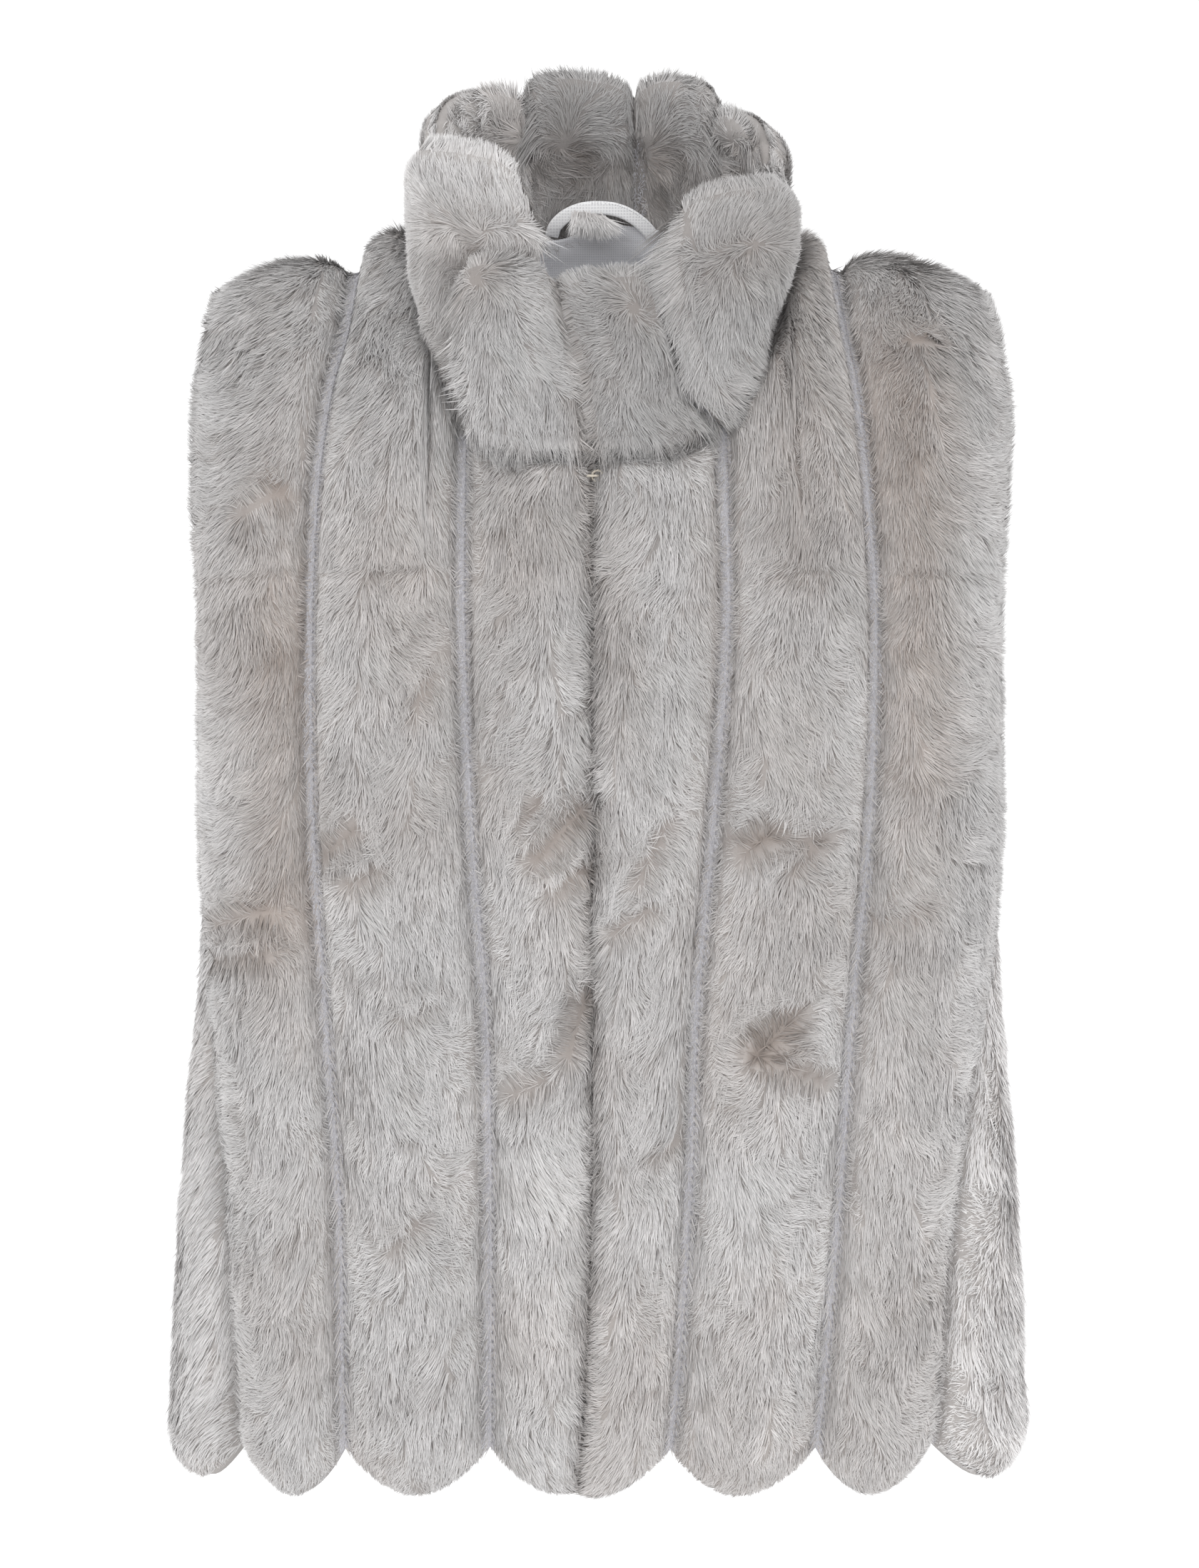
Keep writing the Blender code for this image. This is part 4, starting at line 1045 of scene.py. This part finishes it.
def edge_hairs(coats, last):
    """Hairs on the side of a collar tile, where it stands above its neighbour."""
    column, inner = (-1, -2) if last else (0, 1)
    outside, inside = (skin_surface(coat)[:, column] for coat in coats)
    away = unit(coats[0]["point"][:, column] - coats[0]["point"][:, inner])
    rows = len(outside)
    wall = size_of(outside - inside).mean()
    count = int(EDGE_HAIR_REACH * wall * EDGE_HAIR_DENSITY)
    top = coats[0]["v"][-1, 0]
    row = np.interp(top - EDGE_HAIR_REACH * evenly(count), coats[0]["v"][:, 0], np.arange(rows))
    across = evenly(count)[:, None]
    i = np.minimum(row.astype(int), rows - 2)
    f = (row - i)[:, None]
    outer_at = outside[i] * (1 - f) + outside[i + 1] * f
    inner_at = inside[i] * (1 - f) + inside[i + 1] * f
    root = outer_at * (1 - across) + inner_at * across
    go = away[i] + 0.9 * (0.5 - across) * unit(outer_at - inner_at) + 0.25 * about_zero((count, 3))
    go[:, 2] += 0.5 * about_zero(count) + 0.3
    end = root + unit(go) * (HAIR_LENGTH * (0.45 + 0.5 * evenly(count)))[:, None]
    flat = unit(np.cross(end - root, outer_at - inner_at) + 0.5 * about_zero((count, 3)))
    flat = unit(np.cross(end - root, flat))
    points = blade(root, end, flat, HAIR_WIDTH * (0.8 + 0.6 * evenly(count)))
    shade = sample(coats[0]["shade"], row, np.full(count, coats[0]["share"].shape[1] - 1.0 if last else 0.0))
    shade = shade * (1 + 0.06 * about_zero(count))
    return points, tints((0.0, 0.0, 1.0), shade, 0.1 * evenly(count), 0.0)


def hair_mesh(name, groups, material):
    """One joined mesh of groups of hairs."""
    points = np.concatenate([g[0].reshape(-1, 3) for g in groups])
    tint = np.concatenate([g[1].reshape(-1, 4) for g in groups])
    order = np.arange(len(points))
    return mesh_object(name, points, order, order[::3], [material], None, tint)


# Materials

class Nodes:
    """Short way to add and join the nodes of one material."""

    def __init__(self, name):
        self.material = bpy.data.materials.new(name)
        self.material.use_nodes = True
        self.tree = self.material.node_tree
        self.shader = self.tree.nodes["Principled BSDF"]

    def add(self, kind, **inputs):
        node = self.tree.nodes.new(kind)
        for key, value in inputs.items():
            self.put(node, key, value)
        return node

    def put(self, node, key, value):
        place = int(key[1:]) if key[0] == "_" else key.replace("_", " ")
        if isinstance(value, bpy.types.NodeSocket):
            self.tree.links.new(value, node.inputs[place])
        else:
            node.inputs[place].default_value = value

    def math(self, operation, a, b=0.0, clamp=False):
        node = self.tree.nodes.new("ShaderNodeMath")
        node.operation = operation
        node.use_clamp = clamp
        self.put(node, "_0", a)
        self.put(node, "_1", b)
        return node.outputs[0]

    def scaled(self, value, factor, plus):
        return self.math("ADD", self.math("MULTIPLY", value, factor), plus)

    def mix(self, factor, a, b, blend="MIX"):
        node = self.tree.nodes.new("ShaderNodeMix")
        node.data_type = "RGBA"
        node.blend_type = blend
        self.put(node, "_0", factor)
        self.put(node, "_6", a)
        self.put(node, "_7", b)
        return node.outputs[2]

    def set(self, **inputs):
        for key, value in inputs.items():
            self.put(self.shader, key, value)
        return self.material


def srgb(red, green, blue):
    values = np.array([red, green, blue]) / 255
    linear = np.where(values < 0.04045, values / 12.92, ((values + 0.055) / 1.055) ** 2.4)
    return (*linear.tolist(), 1.0)


def tinted(nodes, colour, shade):
    """The colour made lighter or darker by a value."""
    grey = nodes.tree.nodes.new("ShaderNodeCombineColor")
    for i in range(3):
        nodes.tree.links.new(shade, grey.inputs[i])
    return nodes.mix(1.0, colour, grey.outputs[0], "MULTIPLY")


def tint_parts(nodes):
    """Along the hair, shade, brown and velvet, as the meshes carry them."""
    tint = nodes.add("ShaderNodeAttribute")
    tint.attribute_name = "tint"
    parts = nodes.tree.nodes.new("ShaderNodeSeparateColor")
    nodes.tree.links.new(tint.outputs["Color"], parts.inputs[0])
    return parts.outputs[0], parts.outputs[1], parts.outputs[2], tint.outputs["Alpha"]


def hair_material(name, root, tip, brown, velvet):
    nodes = Nodes(name)
    along, shade, brownness, sheared = tint_parts(nodes)
    colour = nodes.mix(along, root, tip)
    colour = nodes.mix(nodes.math("MULTIPLY", brownness, 0.85, True), colour, brown)
    colour = nodes.mix(sheared, colour, velvet)
    return nodes.set(
        Base_Color=tinted(nodes, colour, shade), Roughness=0.8, Specular_IOR_Level=0.2,
        Sheen_Weight=0.15, Sheen_Roughness=0.5,
    )


def skin_material(name, deep, brown, velvet):
    nodes = Nodes(name)
    sheared, shade, brownness, _ = tint_parts(nodes)
    where = nodes.add("ShaderNodeTexCoord").outputs["Object"]
    nap = nodes.add("ShaderNodeTexNoise", Vector=where, Scale=1400.0, Detail=3.0)
    patch = nodes.add("ShaderNodeTexNoise", Vector=where, Scale=60.0, Detail=2.0)
    # deep: the skin's colour among the roots, darkened as painted shade
    colour = nodes.mix(nodes.math("MULTIPLY", brownness, 0.85, True), deep, brown)
    colour = nodes.mix(sheared, colour, velvet)
    fine = nodes.scaled(nap.outputs[0], 0.24, 0.88)
    broad = nodes.scaled(patch.outputs[0], 0.12, 0.94)
    value = nodes.math("MULTIPLY", nodes.math("MULTIPLY", fine, broad), shade)
    bump = nodes.add("ShaderNodeBump", Strength=0.5, Distance=0.0005, Height=nap.outputs[0])
    return nodes.set(
        Base_Color=tinted(nodes, colour, value), Normal=bump.outputs[0], Roughness=0.9,
        Specular_IOR_Level=0.15, Sheen_Weight=0.2, Sheen_Roughness=0.4,
    )


def woven_material(name, colour_a, colour_b, pitch, bump_depth, roughness, sheen):
    """Fine over-and-under weave whose threads are pitch metres apart."""
    nodes = Nodes(name)
    where = nodes.add("ShaderNodeTexCoord").outputs["Object"]
    waves = []
    for axis in ("X", "Z"):
        wave = nodes.add("ShaderNodeTexWave", Vector=where, Scale=0.5 / pitch / 3.18, Distortion=0.3)
        wave.bands_direction = axis
        waves.append(wave.outputs[1])
    weave = nodes.math("MULTIPLY", waves[0], waves[1])
    patch = nodes.add("ShaderNodeTexNoise", Vector=where, Scale=40.0, Detail=3.0)
    colour = nodes.mix(weave, colour_a, colour_b)
    shade = nodes.scaled(patch.outputs[0], 0.2, 0.9)
    colour = tinted(nodes, colour, shade)
    bump = nodes.add("ShaderNodeBump", Strength=0.4, Distance=bump_depth, Height=weave)
    return nodes.set(
        Base_Color=colour, Normal=bump.outputs[0], Roughness=roughness, Specular_IOR_Level=0.35,
        Sheen_Weight=sheen,
    )


FUR_ROOT, FUR_TIP, FUR_BROWN = srgb(187, 184, 183), srgb(216, 215, 215), srgb(172, 161, 154)
VELVET = srgb(205, 204, 209)
HAIR = hair_material("fur_hair", FUR_ROOT, FUR_TIP, FUR_BROWN, VELVET)
# the skin is coloured darker than the hair, as painted shade among the roots
SKIN = skin_material("fur_skin", srgb(160, 156, 154), FUR_BROWN, VELVET)
LINING = woven_material("lining_weave", srgb(222, 222, 226), srgb(196, 197, 202), 0.0006, 0.0002, 0.5, 0.1)
INSIDE = woven_material("inside_weave", srgb(190, 190, 193), srgb(160, 160, 164), 0.0006, 0.0002, 0.5, 0.1)
TWILL = woven_material("twill_weave", srgb(246, 246, 247), srgb(218, 218, 221), 0.0008, 0.0003, 0.45, 0.3)
THREAD = woven_material("white_thread", srgb(222, 222, 224), srgb(176, 176, 182), 0.0004, 0.0001, 0.6, 0.1)
SEAM_THREAD = woven_material("seam_thread", srgb(176, 175, 180), srgb(136, 135, 140), 0.0005, 0.0001, 0.7, 0.1)


def wire_material():
    nodes = Nodes("hook_enamel")
    where = nodes.add("ShaderNodeTexCoord").outputs["Object"]
    wear = nodes.add("ShaderNodeTexNoise", Vector=where, Scale=700.0, Detail=3.0)
    colour = nodes.mix(wear.outputs[0], srgb(214, 205, 190), srgb(176, 170, 160))
    rough = nodes.scaled(wear.outputs[0], 0.3, 0.3)
    return nodes.set(Base_Color=colour, Roughness=rough, Metallic=0.35)


WIRE = wire_material()


# Pieces

def measured(grid_point):
    """Width, length and area of a pelt's cloth, in metres."""
    width = np.median(size_of(np.diff(grid_point, axis=1)).sum(axis=1))
    length = size_of(np.diff(grid_point, axis=0)).sum(axis=0).max()
    a = grid_point[1:, :-1] - grid_point[:-1, :-1]
    b = grid_point[:-1, 1:] - grid_point[:-1, :-1]
    area = size_of(np.cross(a, b)).sum()
    width = max(1.03 * width, 1.02 * area / length)
    return width * MM, length * MM, min(area * MM * MM, width * length * MM * MM)


def skin_tint(coat):
    tint = np.ones(coat["share"].shape + (4,))
    tint[..., 0] = 1 - coat["grow"]
    tint[..., 1] = coat["shade"]
    tint[..., 2] = coat["brown"]
    return tint


def skin_surface(coat):
    return coat["point"] + coat["normal"] * (coat["base"] + SKIN_SHARE * coat["pile"])[..., None]


def dress(node, made_skin, made_hairs, cloth):
    for piece in (made_skin, made_hairs):
        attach(piece, "root")
    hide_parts(node)
    width, length, area = measured(cloth)
    width, length = round(width, 3), round(length, 3)


def dress_coat(node, coat, seed, density, length, width, flip):
    coat["seed"] = seed
    outer, inner, tint = skin_surface(coat), coat["point"], skin_tint(coat)
    if flip:
        outer, inner, tint = outer[:, ::-1], inner[:, ::-1], tint[:, ::-1]
    title = node.replace("_pelt", "")
    made = skin(title + "_skin", outer, inner, tint, [SKIN, INSIDE])
    groups = [long_hairs(coat, density, length, width), nap_hairs(coat, NAP_DENSITY * density / FRONT_DENSITY)]
    dress(node, made, hair_mesh(title + "_hair", groups, HAIR), coat["point"])


def spread_tuft(foot, tip, count, length):
    """Loose fur fanning down from a line of roots."""
    t = evenly(count)
    root = foot[0] * (1 - t)[:, None] + foot[1] * t[:, None] + 0.8 * about_zero((count, 3))
    end = tip[0] * (1 - t)[:, None] + tip[1] * t[:, None] + 3.2 * about_zero((count, 3))
    end = root + unit(end - root) * (length * (0.6 + 0.5 * evenly(count)))[:, None]
    end[:, 1] -= 1.5 * evenly(count)
    flat = unit(np.cross(end - root, [0.0, 1.0, 0.0]))
    points = blade(root, end, flat, 0.7 * (0.7 + 0.6 * evenly(count)))
    # white fur, made lighter still as painted light against the shade under the loop
    shade = 1.35 + 0.10 * about_zero(count) - 0.30 * lattice(np.floor(t * 14), 0 * t, 5)
    return points, tints((0.0, 0.0, 1.0), shade, 0.05 * evenly(count), 0.0)


number = 1
for row in BODY_PELTS:
    for at_back in (False, True):
        coat = body_coat(row, at_back, 10 * number)
        node = ("back_pelt_" if at_back else "front_pelt_") + row[0]
        if at_back:
            dress_coat(node, coat, 40 * number, BACK_DENSITY, 1.15 * HAIR_LENGTH, 1.6 * HAIR_WIDTH, True)
        else:
            dress_coat(node, coat, 40 * number, FRONT_DENSITY, HAIR_LENGTH, HAIR_WIDTH, False)
        number += 1
for side in (-1, 1):
    for at_back in (False, True):
        coat = side_coat(side, at_back, 10 * number)
        node = f"side_pelt_{'left' if side < 0 else 'right'}_{'back' if at_back else 'front'}"
        dress_coat(node, coat, 40 * number, SIDE_DENSITY, HAIR_LENGTH, 1.25 * HAIR_WIDTH, (side > 0) != at_back)
        number += 1
for row in COLLAR_PELTS:
    coats, middle = collar_coats(row, number)
    node = "collar_pelt_" + row[0]
    title = node.replace("_pelt", "")
    outer, inner, tint = skin_surface(coats[0]), skin_surface(coats[1]), skin_tint(coats[0])
    made = skin(title + "_skin", outer[:, ::-1], inner[:, ::-1], tint[:, ::-1], [SKIN, SKIN])
    groups = []
    for face, coat in enumerate(coats):
        coat["seed"] = 40 * number + 20 * face
        density = (COLLAR_DENSITY, COLLAR_INNER_DENSITY)[face]
        groups += [long_hairs(coat, density, HAIR_LENGTH, HAIR_WIDTH), nap_hairs(coat, NAP_DENSITY)]
    groups += [edge_hairs(coats, False), edge_hairs(coats, True)]
    if row[0] == "left_back":
        groups.append(spread_tuft(*TUFT_UNDER_LOOP, 1500, 14.0))
    dress(node, made, hair_mesh(title + "_hair", groups, HAIR), middle)
    number += 1


def woven_piece(name, front, behind, material, node):
    """A closed piece of cloth that takes a node's place."""
    made = skin(name, front, behind, np.ones(front.shape[:2] + (4,)), [material, material])
    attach(made, "root")
    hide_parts(node)
    return made


def lining_cloth():
    """The lining at the back of the neck, over the inner wall and up behind the loop."""
    x = np.linspace(-LINING_HALF_WIDTH, LINING_HALF_WIDTH, LINING_COLUMNS)
    top = BACK_HEM - neckline_station(x, True) - SEAM_GAP / RIDGE_STATION_LENGTH
    first = LAST_COMMON + (top - LAST_COMMON) / 12
    s = BACK_HEM - (first + (top - first) * np.linspace(0, 1, LINING_ROWS)[:, None])
    grid_x = x[None, :] + 0 * s
    wall, normal = shell(grid_x, s), outward(shell, grid_x, s)
    ripple = 0.35 * noise(grid_x, s * 40, 14, 901) + 0.35 + 0.9 * hill(grid_x - 6 - 8 * (s - s.min()), 4)
    near = wall - normal * (LINING_OFF_WALL + LINING_THICKNESS + ripple)[..., None]
    turns = np.linspace(130, 230, 201)
    turn = np.interp(x, neck_plan(turns)[0], turns)
    base = collar_base(turn)
    climb = LINING_CLIMB[0] + (LINING_CLIMB[1] - LINING_CLIMB[0]) * smooth(x, -22, 8)
    upper = []
    for up in np.linspace(0, 1, LINING_CLIMB_ROWS + 1)[1:]:
        rise = climb * up
        height = base[:, 2] + rise
        middle, outside = collar_wall(turn, turn, base, rise / COLLAR_HEIGHT, height)
        pile = SKIN_SHARE * COLLAR_PILE_IN * np.tanh(NECK_TAPER_SLOPE * np.clip(rise - 1, 0, None) / PILE) * 1.1
        off = COLLAR_BACKING / 2 + pile + 1.5 + 0.8 * np.sin(np.pi * up) + 0.5 * noise(x, rise, 12, 902)
        upper.append(middle - outside * off[:, None])
    near = np.concatenate([near, np.array(upper)])
    facing = unit(np.cross(np.gradient(near, axis=1), np.gradient(near, axis=0)))
    away = np.sign(np.sum(facing * (near), axis=-1, keepdims=True))
    far = near + facing * away * LINING_THICKNESS
    return near, far


def loop_strap():
    """The twill loop, with soft edges; its left part lies nearly level."""
    t = np.linspace(0, 1, 49)
    arch = np.sin(np.pi * t) ** np.where(t < 0.5, 0.42, 0.62)
    turn = LOOP_TURNS[0] + (LOOP_TURNS[1] - LOOP_TURNS[0]) * t
    base = collar_base(turn)
    height = base[:, 2] + LOOP_FOOT + LOOP_RISE * arch
    wall, outside = collar_wall(turn, turn, base, (height - base[:, 2]) / COLLAR_HEIGHT, height)
    centre = wall - outside * (LOOP_SEAT + LOOP_STAND_OFF * arch ** 0.8)[:, None]
    run = unit(np.gradient(centre, axis=0))
    across = unit(np.cross(run, outside))
    side = np.linspace(-1, 1, 11)
    thick = LOOP_THICKNESS / 2 * (1 - side**6) + 0.12
    lengthwise = centre[:, None] - across[:, None] * (side * LOOP_WIDTH / 2)[None, :, None]
    front = lengthwise - outside[:, None] * thick[None, :, None]
    behind = lengthwise + outside[:, None] * thick[None, :, None]
    return front, behind, centre, across, outside, run


def beads(name, points, run, facing, length, radius, material):
    """Stitches as one mesh of small long octahedra."""
    run, facing = unit(run), unit(facing)
    side = unit(np.cross(run, facing))
    body = np.stack([
        points - run * length / 2, points + side * radius, points + facing * radius,
        points - side * radius, points - facing * radius, points + run * length / 2,
    ], axis=1)
    pattern = np.array([
        (0, 2, 1), (0, 3, 2), (0, 4, 3), (0, 1, 4), (5, 1, 2), (5, 2, 3), (5, 3, 4), (5, 4, 1),
    ])
    corners = (pattern[None] + 6 * np.arange(len(points))[:, None, None]).reshape(-1)
    made = mesh_object(name, body.reshape(-1, 3), corners, np.arange(len(corners) // 3) * 3, [material])
    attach(made, "root")
    return made


near, far = lining_cloth()
made = woven_piece("neck_lining_cloth", near, far, LINING, "neck_lining")

front, behind, centre, across, outside, run = loop_strap()
made = woven_piece("hanger_loop_strap", front, behind, TWILL, "hanger_loop")
steps = np.arange(*STITCHED_STEPS)
upper_edge = centre[steps] - across[steps] * (STITCH_INSET - LOOP_WIDTH / 2)
upper_edge = upper_edge - outside[steps] * (LOOP_THICKNESS / 2 + 0.15)
row = beads("hanger_loop_stitches", upper_edge, run[steps], outside[steps], 1.0, 0.28, THREAD)

STITCHED_STATIONS = (0.75, 9.4)
STITCH_PITCH = 3.3
seams = []
for edge in ("left_outer", "left_inner", "right_inner", "right_outer"):
    s = np.arange(*STITCHED_STATIONS, STITCH_PITCH / STATION_LENGTH)
    x = level(edge, s)
    keep = s < neckline_station(x, False) - 0.1
    s, x = s[keep], x[keep]
    place, normal = shell(x, s), outward(shell, x, s)
    run = unit(np.gradient(place, axis=0))
    seams.append((place + normal * (BACKING + 0.9) + np.cross(run, normal) * 1.5, run, normal))
points, run, normal = (np.concatenate(part) for part in zip(*seams))
row = beads("front_seam_stitches", points, run, normal, 2.3, 0.42, SEAM_THREAD)

for node in ("fur_hook", "fur_eye"):
    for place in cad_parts[node].material_slots:
        place.material = WIRE


# Floor, light and camera

FLOOR = -0.95
FLOOR_RADIUS = 2.0
# The picture's plane, in millimetres: how far off it is, how wide the picture is there, and its middle
VIEW_DISTANCE = 3400.0
VIEW_WIDTH = 621.6
VIEW_MIDDLE = (0.0, -115.0, -278.8)


def plain_floor():
    nodes = Nodes("floor_white")
    nodes.set(Base_Color=(0.92, 0.92, 0.92, 1), Roughness=0.9, Specular_IOR_Level=0.0)
    turns = np.linspace(0, 2 * np.pi, 65)[:-1]
    points = [(FLOOR_RADIUS * np.cos(t), FLOOR_RADIUS * np.sin(t), FLOOR) for t in turns]
    faces = [tuple(range(len(points)))]
    mesh = bpy.data.meshes.new("floor")
    mesh.from_pydata(points, [], faces)
    mesh.shade_smooth()
    mesh.materials.append(nodes.material)
    made = bpy.data.objects.new("floor", mesh)
    bpy.context.scene.collection.objects.link(made)


def area_light(name, place, aim, size, power):
    data = bpy.data.lights.new(name, "AREA")
    data.shape = "SQUARE"
    data.size = size
    data.energy = power
    made = bpy.data.objects.new(name, data)
    made.location = place
    made.rotation_euler = (Vector(aim) - Vector(place)).to_track_quat("-Z", "Y").to_euler()
    bpy.context.scene.collection.objects.link(made)


plain_floor()
area_light("key", (-1.3, -3.0, 1.6), (0, 0, -0.3), 2.0, 34)
area_light("fill", (2.2, -2.6, 0.3), (0, 0, -0.3), 2.0, 14)
area_light("back", (0.3, 2.6, 1.6), (0, 0, -0.2), 2.0, 16)
world = bpy.data.worlds.new("soft_white")
world.use_nodes = True
world.node_tree.nodes["Background"].inputs[0].default_value = (1, 1, 1, 1)
world.node_tree.nodes["Background"].inputs[1].default_value = 1.1
bpy.context.scene.world = world
bpy.context.scene.view_settings.view_transform = "Standard"

camera_data = bpy.data.cameras.new("camera")
camera_data.sensor_fit = "HORIZONTAL"
camera_data.sensor_width = 36.0
camera_data.lens = camera_data.sensor_width * VIEW_DISTANCE / VIEW_WIDTH
camera = bpy.data.objects.new("camera", camera_data)
camera.location = (VIEW_MIDDLE[0] * MM, (VIEW_MIDDLE[1] - VIEW_DISTANCE) * MM, VIEW_MIDDLE[2] * MM)
camera.rotation_euler = (np.pi / 2, 0.0, 0.0)
bpy.context.scene.collection.objects.link(camera)
bpy.context.scene.camera = camera
